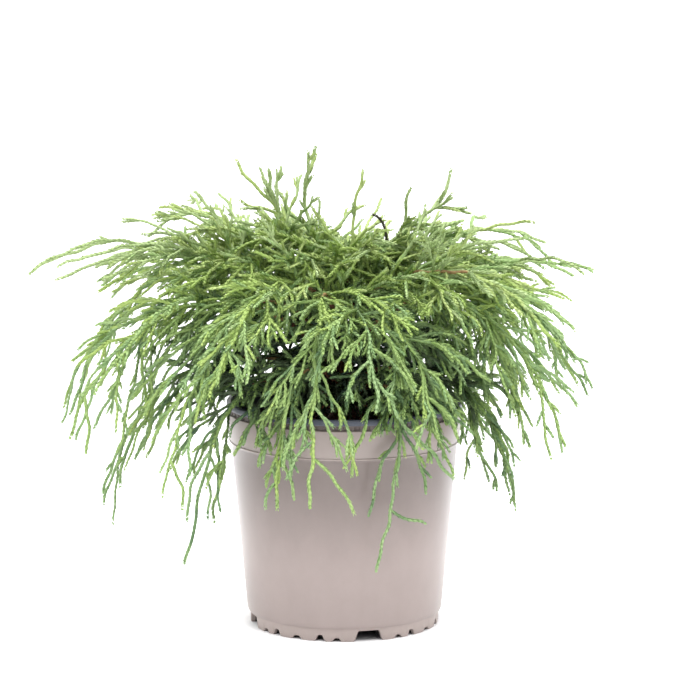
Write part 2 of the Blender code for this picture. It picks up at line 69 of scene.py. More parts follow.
FOOT_TOP_RADIUS = 0.0684
FOOT_RADIUS = 0.06804
FOOT_INNER_RADIUS = 0.058
FLOOR_UNDERSIDE_Z = 0.0078
FLOOR_Z = 0.0096
BOSS_RADIUS = 0.022
TUNNEL_COUNT = 4
TUNNEL_AZIMUTH = -75.0
TUNNEL_WIDTH = 0.0205
TUNNEL_TOP_WIDTH = 0.016
TUNNEL_HEIGHT = 0.0077
NOTCH_TOP_SHARE = 0.62
# Notches between two tunnels: degrees off the middle, width, height
NOTCHES = (
    (-25.5, 0.0062, 0.0026),
    (-15.2, 0.0066, 0.0045),
    (0.0, 0.0078, 0.0026),
    (15.2, 0.0066, 0.0045),
    (25.5, 0.0062, 0.0026),
)

# The pot's finer mouldings
POT_STEPS = 600
BEAD = 0.00075
EDGE_ROUND = 0.0006
RIM_GROOVE = 0.0004
NECK_SLOTS = 72
NECK_SLOT_SHARE = 0.45
NECK_SLOT_DEPTH = 0.0007
CORNER_ROUND_STEPS = 3
BEAD_SET_IN = 0.35
BODY_RINGS = 10
# Where the body curves in above its foot: shares of the way down, and how sharply
CURVE_SHARES = (0.25, 0.5, 0.75, 0.92, 1.0)
CURVE_POWER = 2.2
SHARP_ANGLE = 38
# Two rings this close keep an edge crisp
CREASE = 0.0001
# Its finishes: name, tones from the darker, painted shade high up, to the lighter low down, roughness
POT_FINISHES = {
    "body": ("taupe_polypropylene", ((0.0, "665B57"), (0.4, "7A6E6A"), (0.8, "8D807C")), 0.32),
    "lining": ("slate_polypropylene_lining", ((0.0, "3E424E"), (0.2, "4A4E5C")), 0.32),
    "neck": ("neck_polypropylene", ((0.0, "5A504D"), (0.2, "645855")), 0.5),
    # The underside is near black, darker than the slate lining: painted shade under the pot and in
    # its tunnels
    "underside": ("dark_underside_polypropylene_painted_shade", ((0.3, "101013"), (0.7, "17171A")), 0.6),
    # The bead is painted lighter than the body: a painted highlight along the band's foot
    "bead": ("polypropylene_edge_painted_highlight", ((0.0, "8E827E"), (0.2, "968A86")), 0.35),
    # The foot is painted lighter than the body: painted light under the body's overhang
    "foot": ("polypropylene_foot_painted_light", ((0.6, "958883"), (0.8, "9D908B")), 0.45),
}
# Painted shade: the plastic goes from the first tone to the second between these heights, darker high
# up under the leaves, and is mottled
PAINTED_SHADE_FROM_Z = (0.045, 0.125)
PAINTED_SHADE_TONES = (0.6, -0.1)
MOTTLE = 0.3

# The soil
SOIL_TOP = 0.1495
SOIL_EDGE_DROP = 0.0035
SOIL_RELIEF = 0.0014
SOIL_RINGS = 44
SOIL_STEPS = 120
CLEARANCE = 0.0003
CRUMBS = 1500
CRUMB_SIZES = (0.0006, 0.0024)
CHIPS = 90
CHIP_SIZES = (0.003, 0.008)
CRUMB_FLATNESS = 0.7
CHIP_FLATNESS = 0.22
LUMP_LENGTHS = (0.6, 1.3)
LUMP_WIDTHS = (0.4, 0.8)
LUMP_DENTS = (0.75, 1.2)
LUMP_TILTS = (-0.5, 0.5)
BARE_EDGE = 0.002
# Its waves and their finer ones, per metre, with the finer ones' share and their mean
SOIL_WAVES = 90
FINER_WAVES = 260
FINER_SHARE = 0.6
WAVES_MEAN = 0.4
PEAT = ("moist_peat_mix", ((0.3, "120D0A"), (0.55, "2A201A"), (0.8, "4A3A2E")))
CHIP = ("composted_bark_chips", ((0.3, "4A2A1C"), (0.55, "7A4A32"), (0.8, "9A6848")))

# The trunk and the boughs, as in their solids
TRUNK_FOOT = SOIL_TOP + CLEARANCE
TRUNK_TIP = 0.240
TRUNK_LEAN = -0.009
TRUNK_BACK_LEAN = 0.002
TRUNK_FOOT_RADIUS = 0.0072
TRUNK_TIP_RADIUS = 0.004
ROOT_FLARE = 0.0055
FLARE_SHARE = 0.06
BOUGH_ROOT_RADIUS = 0.0027
BOUGH_TIP_RADIUS = 0.0016
BOUGH_POINTS = 5
STEM_POINTS = 7
ROOT_DEPTH = 0.5
START_HANDLE = 0.45
TIP_HANDLE = 0.42

# The growing rule of the solids
TWIG_RADIUS = 0.0020
TWIG_POINTS = 3
SIDE_TWIGS = 9
FIRST_TWIG = 0.06
SUB_TWIGS = 5
SUB_TWIG_SHARE = 0.55
LEAF_LENGTH = 0.0085
LEAF_RADIUS = 0.0007
LEAF_ANGLE = 38.0
LEAF_ROLL = 70.0
LEAVES = 6
TWIG_ANGLES = (30, 56)
WIDE_ANGLES = (48, 84)
WIDE_SHARE = 0.25
TWIG_ROLLS = (-30, 40)
STEP_DRAWS = (0.15, 0.85)
LENGTH_DRAWS = (0.7, 1.15)
FALL_DRAWS = (0.7, 1.2)
MIDDLE_OF_TWIG = (0.3, 0.7)
TAPER = 0.6
CREST_TAPER = 1.15
FOLLOW = 0.35
CREST_FALL = 0.5
MOST_FALL = 0.95
UPRIGHT = 0.25
ROOM = 0.0012
TRIES = 8
SHORTER_EACH_TRY = 0.07
CREST_FOLD_Z = 0.285
CROWN_TOP = 0.3465
HEART_REACH = 0.088
HEART_FOOT = 0.24
OVERSHOOT = 0.003
OVERHANG = 0.012
SAMPLES = 6
SEED = 39

UP = np.array((0.0, 0.0, 1.0))

# How each tier of the crown grows, as in the solids
TIERS = {
    "skirt": {
        "roots": (0.1595, 0.170), "rise": 42, "flat": 12, "length": 0.048,
        "share": 0.52, "spread": 0.84, "droop": 0.85,
    },
    "mantle": {
        "roots": (0.1795, 0.189, 0.1985), "rise": 62, "flat": 34, "length": 0.056,
        "share": 0.58, "spread": 0.84, "droop": 0.62,
    },
    "shoulder": {
        "roots": (0.2095, 0.219), "rise": 60, "flat": 26, "length": 0.040,
        "share": 0.58, "spread": 0.80, "droop": 0.45,
    },
    "crest": {
        "roots": (0.2305, 0.2355), "rise": 66, "flat": 66, "length": 0.0,
        "share": 0.80, "spread": 0.40, "droop": 0.10,
    },
}

# Where each spray ends: azimuth in degrees, reach from the axis and height in mm,
# and how many degrees its tip hangs below the level
TIPS = {
    "skirt": (
        (-148, 132, 58, 74), (-115, 112, 104, 82), (-77, 102, 60, 74), (-53, 126, 127, 50),
        (-14, 126, 94, 78), (38, 136, 84, 74), (104, 134, 84, 78), (176, 175, 83, 78),
    ),
    "mantle": (
        (-162, 203, 148, 74), (-140, 164, 114, 76), (-100, 135, 112, 76),
        (-61, 132, 157, 70), (-22, 168, 142, 68), (18, 180, 164, 62),
        (62, 176, 138, 66), (112, 178, 132, 66), (162, 219, 147, 70),
    ),
    "shoulder": (
        (-177, 224, 257, 32), (146, 164, 290, 8), (88, 156, 250, 34), (35, 182, 263, 24),
        (-3, 177, 259, 10), (-36, 182, 218, 50), (-80, 130, 178, 70), (-124, 156, 196, 62),
    ),
    "crest": (
        (174, 78, 334, -50), (140, 27, 343, -116), (70, 78, 300, -40),
        (14, 80, 326, -74), (-50, 20, 330, -72),
    ),
}

# Sprays whose outer part is a bare whip: the share of the stem that bears twigs
WHIPS = {
    "skirt_foliage_1": 0.56, "skirt_foliage_3": 0.36, "skirt_foliage_4": 0.40,
    "shoulder_foliage_1": 0.66,
}

# Sprays that swing sideways: how many degrees their bough leaves to one side of their tip,
# and how many their tip points to the other
SWAYS = {"skirt_foliage_3": (16, 74)}

# The finer threads, in rounds. on: the levels that bear them, where 0 is a bough and 1 a spray's
# stem. zone: how far out of the heart they root. every: the run of bearer for each thread.
# lengths: in m, to which comes a share of the bearer's run beyond the root. The first two rounds
# fill the heart, the third makes the fans, and the last two the short twigs along the whips.
FINE_KEYS = ("level", "on", "zone", "every", "places", "angles", "rolls", "lengths", "shares")
FINE_ROUNDS = (
    (2, (0, 1), (0.00, 0.62), 0.0046, (0.05, 0.85), (35, 85), (-80, 80), (0.020, 0.044), (0, 0.00)),
    (3, (1, 2), (0.00, 0.60), 0.0062, (0.10, 0.95), (28, 66), (-70, 70), (0.009, 0.024), (0, 0.00)),
    (2, (1, 2), (0.42, 0.82), 0.0165, (0.08, 0.66), (16, 34), (-80, 60), (0.022, 0.046), (0, 0.15)),
    (4, (1, 2), (0.40, 1.00), 0.0130, (0.12, 0.86), (20, 36), (-55, 55), (0.007, 0.014), (0, 0.00)),
    (4, (2, 3), (0.30, 0.95), 0.0300, (0.50, 0.84), (18, 32), (-60, 60), (0.006, 0.012), (0, 0.00)),
)
TWIGLET_LEVEL = 4
FINE_STEP_DRAWS = (0.1, 0.9)
FULL_FALL_LENGTH = 0.05
SHORTEST_THREAD = 0.006
FINE_TRIES = 4
FINE_SEED = 907
# Where they are kept off: sprigs above this height bear only twiglets
CREST_BARE_Z = 0.288
# They stay below a ceiling: pairs of x and height in mm, and its fall to the back
CEILING = (
    (-230, 235), (-110, 294), (-67, 303), (-12, 296), (-3, 282), (10, 281), (20, 288),
    (33, 276), (45, 294), (68, 301), (97, 284), (111, 272), (150, 252), (230, 215),
)
BACK_FALL = 0.16
# Towards the viewer and low at the left the crown is more open: a share of its roots is bare
OPEN_FRONT_Y = -0.055
OPEN_LEFT_X = -0.105
OPEN_LEFT_Z = 0.215
OPEN_SHARE = 0.6
# A thread keeps out of the cells of space, this far across, that others run through
CELL = 0.0019
CELL_SPAN = 1000
MOST_CROWDED = 0.22
ROOT_RUN = 3

# Single sprigs that stand out of the crown, by the spray that bears them: about where each leaves
# the spray and its tip, in mm, and how many degrees its tip rises
SPRIGS = {
    "skirt_foliage_1": (((-84, -70, 146), (-92, -72, 89), -84),),
    "skirt_foliage_3": (
        ((36, -98, 102), (55, -99, 92), -30), ((5, -98, 152), (5, -100, 127), -88),
    ),
    "skirt_foliage_4": (((39, -92, 158), (76, -92, 124), -50),),
    "skirt_foliage_5": (((52, -12, 194), (78, 10, 190), -20),),
    "skirt_foliage_6": (((40, 30, 196), (60, 32, 200), 5),),
    "skirt_foliage_8": (
        ((-52, 4, 200), (-90, 25, 182), -40), ((-56, 4, 200), (-78, 40, 196), -20),
        ((-48, 4, 198), (-62, 34, 204), 10),
    ),
    "mantle_foliage_1": (
        ((-123, -20, 217), (-179, -20, 146), -62), ((-127, -40, 213), (-161, -50, 135), -70),
        ((-117, -30, 207), (-139, -20, 170), -62), ((-98, -20, 226), (-140, -20, 198), -50),
    ),
    "mantle_foliage_2": (((-119, -50, 221), (-153, -50, 171), -62),),
    "mantle_foliage_5": (
        ((107, -20, 202), (126, -30, 153), -70), ((95, -20, 206), (134, -20, 146), -68),
        ((89, -30, 218), (124, -35, 170), -55),
    ),
    "mantle_foliage_6": (
        ((50, 15, 236), (62, 50, 188), -76), ((54, 16, 236), (84, 50, 186), -70),
    ),
    "mantle_foliage_8": (((-20, 50, 232), (-60, 72, 180), -78),),
    "mantle_foliage_9": (
        ((-60, 20, 236), (-95, 45, 190), -70), ((-52, 20, 232), (-72, 60, 180), -76),
        ((-48, 18, 228), (-52, 55, 184), -80),
    ),
    "shoulder_foliage_2": (
        ((-81, 10, 283), (-108, 20, 311), 25), ((-86, 10, 279), (-125, 10, 303), 15),
        ((-93, 0, 279), (-138, 0, 297), 5),
    ),
    "shoulder_foliage_8": (((-104, -35, 222), (-138, -40, 186), -60),),
    "crest_foliage_1": (
        ((-50, 0, 292), (-61, 8, 330), 60), ((-50, 0, 298), (-54, 5, 326), 80),
        ((-48, 0, 294), (-49, 0, 328), 88), ((-60, 0, 292), (-74, -5, 307), 35),
        ((-48, 0, 284), (-30, 10, 324), 62), ((-50, -4, 284), (-59, -6, 299), 50),
    ),
    "crest_foliage_2": (
        ((-30, 5, 307), (-26, 10, 341), 70), ((-34, 5, 284), (-41, 10, 308), 110),
        ((-38, 10, 294), (-45, 20, 309), 50), ((-26, 0, 292), (-23, -10, 311), 75),
    ),
    "crest_foliage_3": (((43, 10, 295), (47, 10, 314), 72),),
    "crest_foliage_4": (
        ((62, 8, 300), (78, 10, 308), 35), ((66, 6, 294), (87, 10, 301), 20),
        ((58, -4, 284), (83, -10, 293), 15), ((52, 0, 284), (57, 0, 303), 78),
        ((52, -8, 278), (79, -14, 288), 5),
    ),
    "crest_foliage_5": (((-12, -4, 292), (-18, -10, 309), 75),),
}
WITHERED_SPRIGS = {"crest_foliage_4": (((26, 0, 279), (20, 0, 297), 10),)}
SPRIG_HANDLE = 0.4
SPRIG_FOLLOW = 0.4

# How a thread looks: half its width to the leaves' keels, by level, at its root and its tip
THREAD_RADII = {
    1: (0.00138, 0.00122), 2: (0.00128, 0.00114), 3: (0.00118, 0.00108), 4: (0.00116, 0.00106),
}
VIGOURS = (0.92, 1.22)
PITCH = 0.0018
CURVE_POINTS = 60
LIMB_POINTS = 40
CORE_SHARE = 0.66
CORE_SIDES = 4
BARE_SHARE = 0.17
LONG_BARE = {"shoulder_foliage_6": 0.52}
BARE_TIP_SHARE = 0.7
# A waver has a wave length and a size, in m
WAVERS = ((0.021, 0.00040), (0.047, 0.00090))
WAVER_START = 0.02
# Directions that no thread runs along, to take its first side from
WAVER_ASIDE = (0.31, 0.52, 0.80)
TURN_ASIDE = (0.21, 0.34, 0.92)
STRAIGHT = 0.02

# A scale leaf: its run, its width as a share of the thread's, how far its tip spreads in degrees,
# the spread of its turn, and what becomes of the last two, which close the thread's tip
LEAF_RUN = 0.0037
RUN_DRAWS = (0.86, 1.12)
LEAF_WIDTH = 1.5
SPREADS = (2, 10)
TURN_SPREAD = 0.12
LAST_RUN = 0.62
LAST_SPREAD = -6
# Its root, left, right and keel, as shares of its run, of the thread's radius and of half its
# width. Its tip lies a share of the radius out, and is spread from there.
LEAF_OUTLINE = ((-0.16, 0.62, 0), (0.34, 0.50, 1), (0.34, 0.50, -1), (0.40, 0.94, 0))
LEAF_TIP_OUT = 0.92
LEAF_FACES = np.array(((0, 3, 1), (0, 2, 3), (1, 3, 4), (3, 2, 4)))

# The heart that the crown's threads grow away from, and how far they get along each axis
HEART = np.array((-0.005, 0.0, 0.225))
HEART_AXES = np.array((0.205, 0.155, 0.125))
# The dome that leaves come to light in: its middle and its half axes
DOME = np.array((-0.015, 0.0, 0.195))
DOME_AXES = np.array((0.185, 0.142, 0.108))
# How young and how lit a leaf looks, partly the leaves' real age and partly painted light and shade:
# by how far out of the dome's middle it is, painted lighter on the dome and darker as painted shade
# in the heart, how high, painted lighter on top, how near its thread's tip, and by its thread's own
# draw. Long whips that hang low are hardened again, and none of the outer threads stays as dark as
# the heart's, except over the pot.
FIRST_LIGHT = 0.36
OUTWARD_AGE = 0.50
TOP_PAINTED_LIGHT = 0.38
TOP_Z = (0.205, 0.265)
TIP_AGE = 0.10
HARDENED_AGE = 0.26
HARDENED_OUT = (0.86, 1.16)
HARDENED_Z = (0.290, 0.170)
OUTER_AGE = 0.40
OUTER_FROM = (0.50, 0.85)
HANGING_Z = (0.178, 0.150)
HANGING_REACH = (0.130, 0.112)
YOUTH = 0.14
# The age up to which leaves take each finish, its name, the dark and the light tone of its
# yellower and of its bluer hue, and its roughness
# The heart and shaded finishes are darker, and the young and tip finishes lighter, partly by the
# leaves' age and partly as painted shade and painted light
AGES = {
    "deep": (0.16, "heart_scales_painted_shade", ("455438", "5A6C50"), ("394D40", "4C6654"), 0.72),
    "shaded": (0.34, "shaded_scales", ("5C7547", "768E58"), ("54704C", "6E8B5C"), 0.70),
    "mature": (0.56, "full_grown_scales", ("7A9652", "92AA68"), ("73925C", "8BA470"), 0.68),
    "young": (0.80, "this_years_scales", ("8AA453", "9EB366"), ("83A060", "97AF75"), 0.66),
    "tip": (9.00, "new_tip_scales", ("95AA61", "A7B776"), ("91A76D", "A3B580"), 0.64),
}
AGE_LIMITS = [row[0] for row in AGES.values()]
# The share of threads of the bluer hue, inside and far out
BLUER_SHARES = (0.20, 0.82)
BLUER_FROM = (0.74, 1.02)

# Relief of the bark: long fibres, with finer ones on them
TRUNK_SIDES = 40
BOUGH_SIDES = 14
STEM_SIDES = 8
TRUNK_RELIEF = 0.00055
BOUGH_RELIEF = 0.00028
BARK_PITCH = 0.0009
FIBRE_LENGTH = 0.007
FIBRE_WIDTH = 0.0016
FINER = 2.3
FINER_DEPTH = 0.5

# The studio
TABLE_RADIUS = 14.0
TABLE_GLOW = 0.42
# Painted shadow: the table doesn't glow under the pot, and comes up to its full glow round it
PAINTED_SHADOW_RADII = (0.068, 0.084)
# The walls' strength on the photographer's side and elsewhere, and where one turns to the other
WALLS = (0.12, 1.74)
WALLS_FROM = (-0.85, -0.05)
CEILING_SHARE = 0.8
SOFTBOX_PLACE = (0.1, -0.6, 2.2)
SOFTBOX_SIZE = 1.8
SOFTBOX_POWER = 58.0
PLANT_MIDDLE = (0.0, 0.0, 0.18)

# The photograph's camera: 700 pixels across a 36 mm sensor
CAMERA_PLACE = (0.00406, -2.5349, 0.6184)
CAMERA_PITCH = 0.164
CAMERA_LENS = 183.67
CAMERA_REACH = 20.0


# Colours and materials

def linear(channel):
    if channel <= 0.04045:
        return channel / 12.92
    return ((channel + 0.055) / 1.055) ** 2.4


def colour(code):
    """An sRGB hex colour as linear RGBA."""
    return tuple(linear(int(code[i:i + 2], 16) / 255) for i in (0, 2, 4)) + (1.0,)


def add_node(tree, kind, settings, inputs, output=0):
    """Adds a node with its own settings, and returns one of its outputs.

    An input is a value, or a socket to link from.
    """
    node = tree.nodes.new(kind)
    for name, value in settings.items():
        setattr(node, name, value)
    for name, value in inputs.items():
        if isinstance(value, bpy.types.NodeSocket):
            tree.links.new(value, node.inputs[name])
        else:
            node.inputs[name].default_value = value
    return node.outputs[output]


def patches(place, size_mm, detail):
    """A noise's inputs for patches about size_mm across."""
    return {"Vector": place, "Scale": 1000 / size_mm, "Detail": detail, "Roughness": 0.6}


def mapped(value, before, after):
    """A map range's inputs, which carry a value from one span to another."""
    return {
        "Value": value, "From Min": before[0], "From Max": before[1],
        "To Min": after[0], "To Max": after[1],
    }


SMOOTH = {"interpolation_type": "SMOOTHSTEP"}


def new_material(name, roughness, ior):
    """A Principled material and its parts: the tree, the shader and the object coordinates."""
    material = bpy.data.materials.new(name)
    material.use_nodes = True
    tree = material.node_tree
    shader = tree.nodes["Principled BSDF"]
    shader.inputs["Roughness"].default_value = roughness
    shader.inputs["IOR"].default_value = ior
    return material, tree, shader, add_node(tree, "ShaderNodeTexCoord", {}, {}, "Object")


def dress(tree, shader, factor, stops, height=None, depth_mm=0.0, strength=0.0):
    """Colours a shader by stops of (position, hex colour) over a factor, with a height's relief."""
    tones = add_node(tree, "ShaderNodeValToRGB", {}, {"Fac": factor})
    elements = tones.node.color_ramp.elements
    for slot, (position, code) in zip(elements, (stops[0], stops[-1])):
        slot.position = position
        slot.color = colour(code)
    for position, code in stops[1:-1]:
        elements.new(position).color = colour(code)
    tree.links.new(tones, shader.inputs["Base Color"])
    if height is not None:
        relief = {"Height": height, "Distance": depth_mm / 1000, "Strength": strength}
        tree.links.new(add_node(tree, "ShaderNodeBump", {}, relief), shader.inputs["Normal"])


def mottled(name, roughness, ior, tone, stops, grain, relief):
    """A finish with patches of tone and a fine grain, each as size in mm and detail."""
    material, tree, shader, place = new_material(name, roughness, ior)
    factor = add_node(tree, "ShaderNodeTexNoise", {}, patches(place, *tone))
    height = add_node(tree, "ShaderNodeTexNoise", {}, patches(place, *grain))
    dress(tree, shader, factor, stops, height, *relief)
    return material


def leaf_material(name, dark, light, roughness):
    """Evergreen scale leaves: a waxy cuticle over green, paler on some scales than on others."""
    stops = ((0.32, dark), (0.68, light))
    return mottled(name, roughness, 1.45, (11.0, 4.0), stops, (0.7, 2.0), (0.10, 0.3))


def leaf_pair(name, yellower, bluer, roughness):
    """The yellower and the bluer hue of one age's scale leaves, each as (dark, light)."""
    return (
        leaf_material("yellowish_" + name, *yellower, roughness),
        leaf_material("bluish_" + name, *bluer, roughness),
    )


def withered_material():
    """Dead scale leaves: dry, nearly black brown with a little olive left."""
    stops = ((0.35, "23241A"), (0.7, "4A4632"))
    return mottled("withered_scale_leaves", 0.75, 1.45, (2.0, 3.0), stops, (0.6, 2.0), (0.1, 0.5))


def young_bark_material():
    """The thinner bark of a spray's stem: tan to red brown, almost smooth."""
    stops = ((0.32, "6A4C36"), (0.52, "8C7048"), (0.72, "A69460"))
    return mottled("smooth_young_bark", 0.6, 1.5, (5.0, 4.0), stops, (0.8, 3.0), (0.2, 0.5))


def soil_material(name, stops):
    """Moist peat mix: dark, rough and crumbly, with paler fibres."""
    return mottled(name, 0.92, 1.4, (2.4, 6.0), stops, (0.9, 4.0), (0.5, 0.8))


def bark_material():
    """Young cypress bark: thin reddish brown fibres that peel in long shreds."""
    material, tree, shader, place = new_material("fibrous_cypress_bark", 0.82, 1.5)
    upright = {"Vector": place, "Scale": (1.0, 1.0, 0.22)}
    upright = add_node(tree, "ShaderNodeMapping", {}, upright)
    fibres = add_node(tree, "ShaderNodeTexNoise", {}, patches(upright, 1.3, 5.0))
    stops = ((0.30, "38241B"), (0.52, "6E4733"), (0.74, "9A6A4C"))
    dress(tree, shader, fibres, stops, fibres, 0.4, 0.7)
    return material


def pot_material(name, stops, roughness):
    """Moulded polypropylene: satin, finely grained and mottled, with painted shade that darkens it
    high up under the leaves.
    """
    material, tree, shader, place = new_material(name, roughness, 1.49)
    upright = {"Vector": place, "Scale": (1.0, 1.0, 0.7)}
    upright = add_node(tree, "ShaderNodeMapping", {}, upright)
    mottle = add_node(tree, "ShaderNodeTexNoise", {}, patches(upright, 16.0, 8.0))
    height = add_node(tree, "ShaderNodeSeparateXYZ", {}, {"Vector": place}, "Z")
    # Painted shade: the tone falls with height, so the plastic is darker high up under the leaves
    painted_shade_tone = add_node(tree, "ShaderNodeMapRange", SMOOTH, mapped(height, PAINTED_SHADE_FROM_Z, PAINTED_SHADE_TONES))
    sum_of = {0: mottle, 1: MOTTLE, 2: painted_shade_tone}
    factor = add_node(tree, "ShaderNodeMath", {"operation": "MULTIPLY_ADD"}, sum_of)
    grain = add_node(tree, "ShaderNodeTexNoise", {}, patches(place, 0.45, 3.0))
    dress(tree, shader, factor, stops, grain, 0.05, 0.35)
    return material


def table_material():
    """Opal acrylic of a light table: white, and lit from below so that shadows nearly drown. Its glow
    is cut off under the pot and round its foot as painted shadow.
    """
    material, tree, shader, place = new_material("opal_acrylic_light_table", 0.8, 1.49)
    haze = add_node(tree, "ShaderNodeTexNoise", {}, patches(place, 80.0, 2.0))
    dress(tree, shader, haze, ((0.2, "F6F6F8"), (0.8, "FAFAFB")))
    shader.inputs["Emission Color"].default_value = (1.0, 1.0, 1.0, 1.0)
    # Painted shadow: no glow under the pot, rising to full glow round its foot
    reach = add_node(tree, "ShaderNodeVectorMath", {"operation": "LENGTH"}, {0: place}, "Value")
    glow = mapped(reach, PAINTED_SHADOW_RADII, (0.0, TABLE_GLOW))
    glow = add_node(tree, "ShaderNodeMapRange", SMOOTH, glow)
    tree.links.new(glow, shader.inputs["Emission Strength"])
    return material


# Pieces from points and faces

class Batch:
    """Points and triangles of many small shapes, gathered for one joined mesh."""

    def __init__(self):
        self.points = []
        self.triangles = []
        self.finishes = []
        self.count = 0

    def add(self, points, triangles, finish=0):
        self.points.append(points)
        self.triangles.append(triangles + self.count)
        self.finishes.append(np.full(len(triangles), finish, np.int32))
        self.count += len(points)

    def mesh(self, name, is_smooth):
        points = np.concatenate(self.points)
        triangles = np.concatenate(self.triangles)
        mesh = bpy.data.meshes.new(name)
        mesh.vertices.add(len(points))
        mesh.vertices.foreach_set("co", points.astype(np.float32).ravel())
        mesh.loops.add(triangles.size)
        mesh.loops.foreach_set("vertex_index", triangles.astype(np.int32).ravel())
        mesh.polygons.add(len(triangles))
        mesh.polygons.foreach_set("loop_start", np.arange(0, triangles.size, 3, dtype=np.int32))
        mesh.polygons.foreach_set("use_smooth", np.full(len(triangles), is_smooth))
        mesh.polygons.foreach_set("material_index", np.concatenate(self.finishes))
        mesh.update(calc_edges=True)
        return mesh


def ringed_mesh(name, rings, finishes):
    """A smooth mesh through rings of points, with the finish of the faces that end at each.

    A ring of one point is a middle. A last ring of more points is closed by one face.
    """
    steps = len(rings[1])
    work = bmesh.new()
    loops = [[work.verts.new(point) for point in ring] * (steps // len(ring)) for ring in rings]
    for upper, lower, finish in zip(loops[:-1], loops[1:], finishes[1:]):
        for j in range(steps):
            i = (j + 1) % steps
            corners = dict.fromkeys((upper[j], lower[j], lower[i], upper[i]))
            work.faces.new(list(corners)).material_index = finish
    if len(rings[-1]) > 1:
        work.faces.new(reversed(loops[-1]))
    for face in work.faces:
        face.smooth = True
    bmesh.ops.recalc_face_normals(work, faces=work.faces)
    mesh = bpy.data.meshes.new(name)
    work.to_mesh(mesh)
    work.free()
    return mesh


def add_piece(mesh, materials, nodes):
    """Puts a mesh in the scene as a piece that stands for some of the model's nodes."""
    item = bpy.data.objects.new(mesh.name, mesh)
    bpy.context.scene.collection.objects.link(item)
    for material in materials:
        mesh.materials.append(material)
    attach(item, "root")
    if nodes:
        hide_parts(*nodes)


# The growing rule

def unit(vector):
    return vector / np.linalg.norm(vector)


def heading(azimuth, slope):
    """The direction of an azimuth and a slope above the level, in degrees."""
    a = math.radians(azimuth)
    e = math.radians(slope)
    return np.array((math.cos(a) * math.cos(e), math.sin(a) * math.cos(e), math.sin(e)))


def bezier(a, b, c, d, count):
    t = np.linspace(0, 1, count)[:, None]
    return (1 - t) ** 3 * a + 3 * (1 - t) ** 2 * t * b + 3 * (1 - t) * t * t * c + t ** 3 * d


def bend(start, first, last, length, count):
    """A path that leaves in one direction and turns smoothly to another."""
    middle = unit(first + last)
    second = start + first * length / 3
    third = second + middle * length / 3
    return bezier(start, second, third, third + last * length / 3, count)


def trunk_axis(z):
    s = (z - TRUNK_FOOT) / (TRUNK_TIP - TRUNK_FOOT)
    return np.array((TRUNK_LEAN * s * s, TRUNK_BACK_LEAN * s * s, z))


def trunk_path(count):
    return np.array([trunk_axis(z) for z in np.linspace(TRUNK_FOOT, TRUNK_TIP, count)])


def trunk_radius(z):
    s = (z - TRUNK_FOOT) / (TRUNK_TIP - TRUNK_FOOT)
    taper = TRUNK_FOOT_RADIUS + (TRUNK_TIP_RADIUS - TRUNK_FOOT_RADIUS) * s
    return taper + ROOT_FLARE * math.exp(-s / FLARE_SHARE)


def limb_root(tier, index, azimuth):
    roots = TIERS[tier]["roots"]
    z = roots[index % len(roots)]
    return trunk_axis(z) + heading(azimuth, 0) * trunk_radius(z) * ROOT_DEPTH


def bough_path(tier, index, azimuth, count):
    """A bough's points from inside the trunk, and the direction of its tip."""
    rule = TIERS[tier]
    first = heading(azimuth, rule["rise"])
    last = heading(azimuth, rule["flat"])
    return bend(limb_root(tier, index, azimuth), first, last, rule["length"], count), last


def stem_path(tier, index, tip, sways, count):
    """A spray's stem arches from its bough's tip, or from inside the trunk, to the spray's tip."""
    azimuth, reach, height, hang = tip
    bough_sway, tip_sway = sways
    start = limb_root(tier, index, azimuth + bough_sway)
    first = heading(azimuth + bough_sway, TIERS[tier]["rise"])
    if TIERS[tier]["length"] > 0:
        path, first = bough_path(tier, index, azimuth + bough_sway, BOUGH_POINTS)
        start = path[-1] + first * CLEARANCE
    end = heading(azimuth, 0) * reach / 1000 + UP * height / 1000
    span = np.linalg.norm(end - start)
    last = heading(azimuth - tip_sway, -hang)
    second = start + first * span * START_HANDLE
    return bezier(start, second, end - last * span * TIP_HANDLE, end, count)


def marks_of(path):
    """How far along the path each of its points lies."""
    return np.concatenate(([0.0], np.cumsum(np.linalg.norm(np.diff(path, axis=0), axis=1))))


def along(path, share):
    """The point and the direction at a share of a path's length."""
    steps = np.diff(path, axis=0)
    marks = marks_of(path)
    place = share * marks[-1]
    k = int(np.clip(np.searchsorted(marks, place) - 1, 0, len(steps) - 1))
    ahead = steps[k] / (marks[k + 1] - marks[k])
    return path[k] + ahead * (place - marks[k]), ahead


def side_direction(point, ahead, side, angle, roll):
    """Leaves a twig sideways by an angle, on the given side, rolled about the twig, in degrees."""
    across = np.cross(UP, ahead)
    if np.linalg.norm(across) < UPRIGHT:
        across = np.cross(UP, (point[0], point[1], 0.0))
    across = unit(across)
    over = unit(np.cross(ahead, across))
    roll = math.radians(roll)
    angle = math.radians(angle)
    outward = across * side * math.cos(roll) + over * math.sin(roll)
    return unit(ahead * math.cos(angle) + outward * math.sin(angle))


def falling(first, ahead, fall):
    """A twig's last direction: it follows its bearer and falls."""
    return unit(first * (1 - min(fall, MOST_FALL)) + ahead * FOLLOW - UP * fall)


def is_low_on_crest(tier, point):
    return tier == "crest" and point[2] < CREST_FOLD_Z


def side_twig(tier, rng, path, place, side, share):
    """A side twig's start, its first and last direction and its length."""
    point, ahead = along(path, place)
    is_low = is_low_on_crest(tier, point)
    angles = WIDE_ANGLES if is_low or place < WIDE_SHARE else TWIG_ANGLES
    angle = rng.uniform(*angles)
    first = side_direction(point, ahead, side, angle, rng.uniform(*TWIG_ROLLS))
    taper = CREST_TAPER if tier == "crest" else TAPER
    length = marks_of(path)[-1] * share * (1 - taper * place) * rng.uniform(*LENGTH_DRAWS)
    fall = TIERS[tier]["droop"] * rng.uniform(*FALL_DRAWS)
    return point, first, falling(first, ahead, CREST_FALL if is_low else fall), length


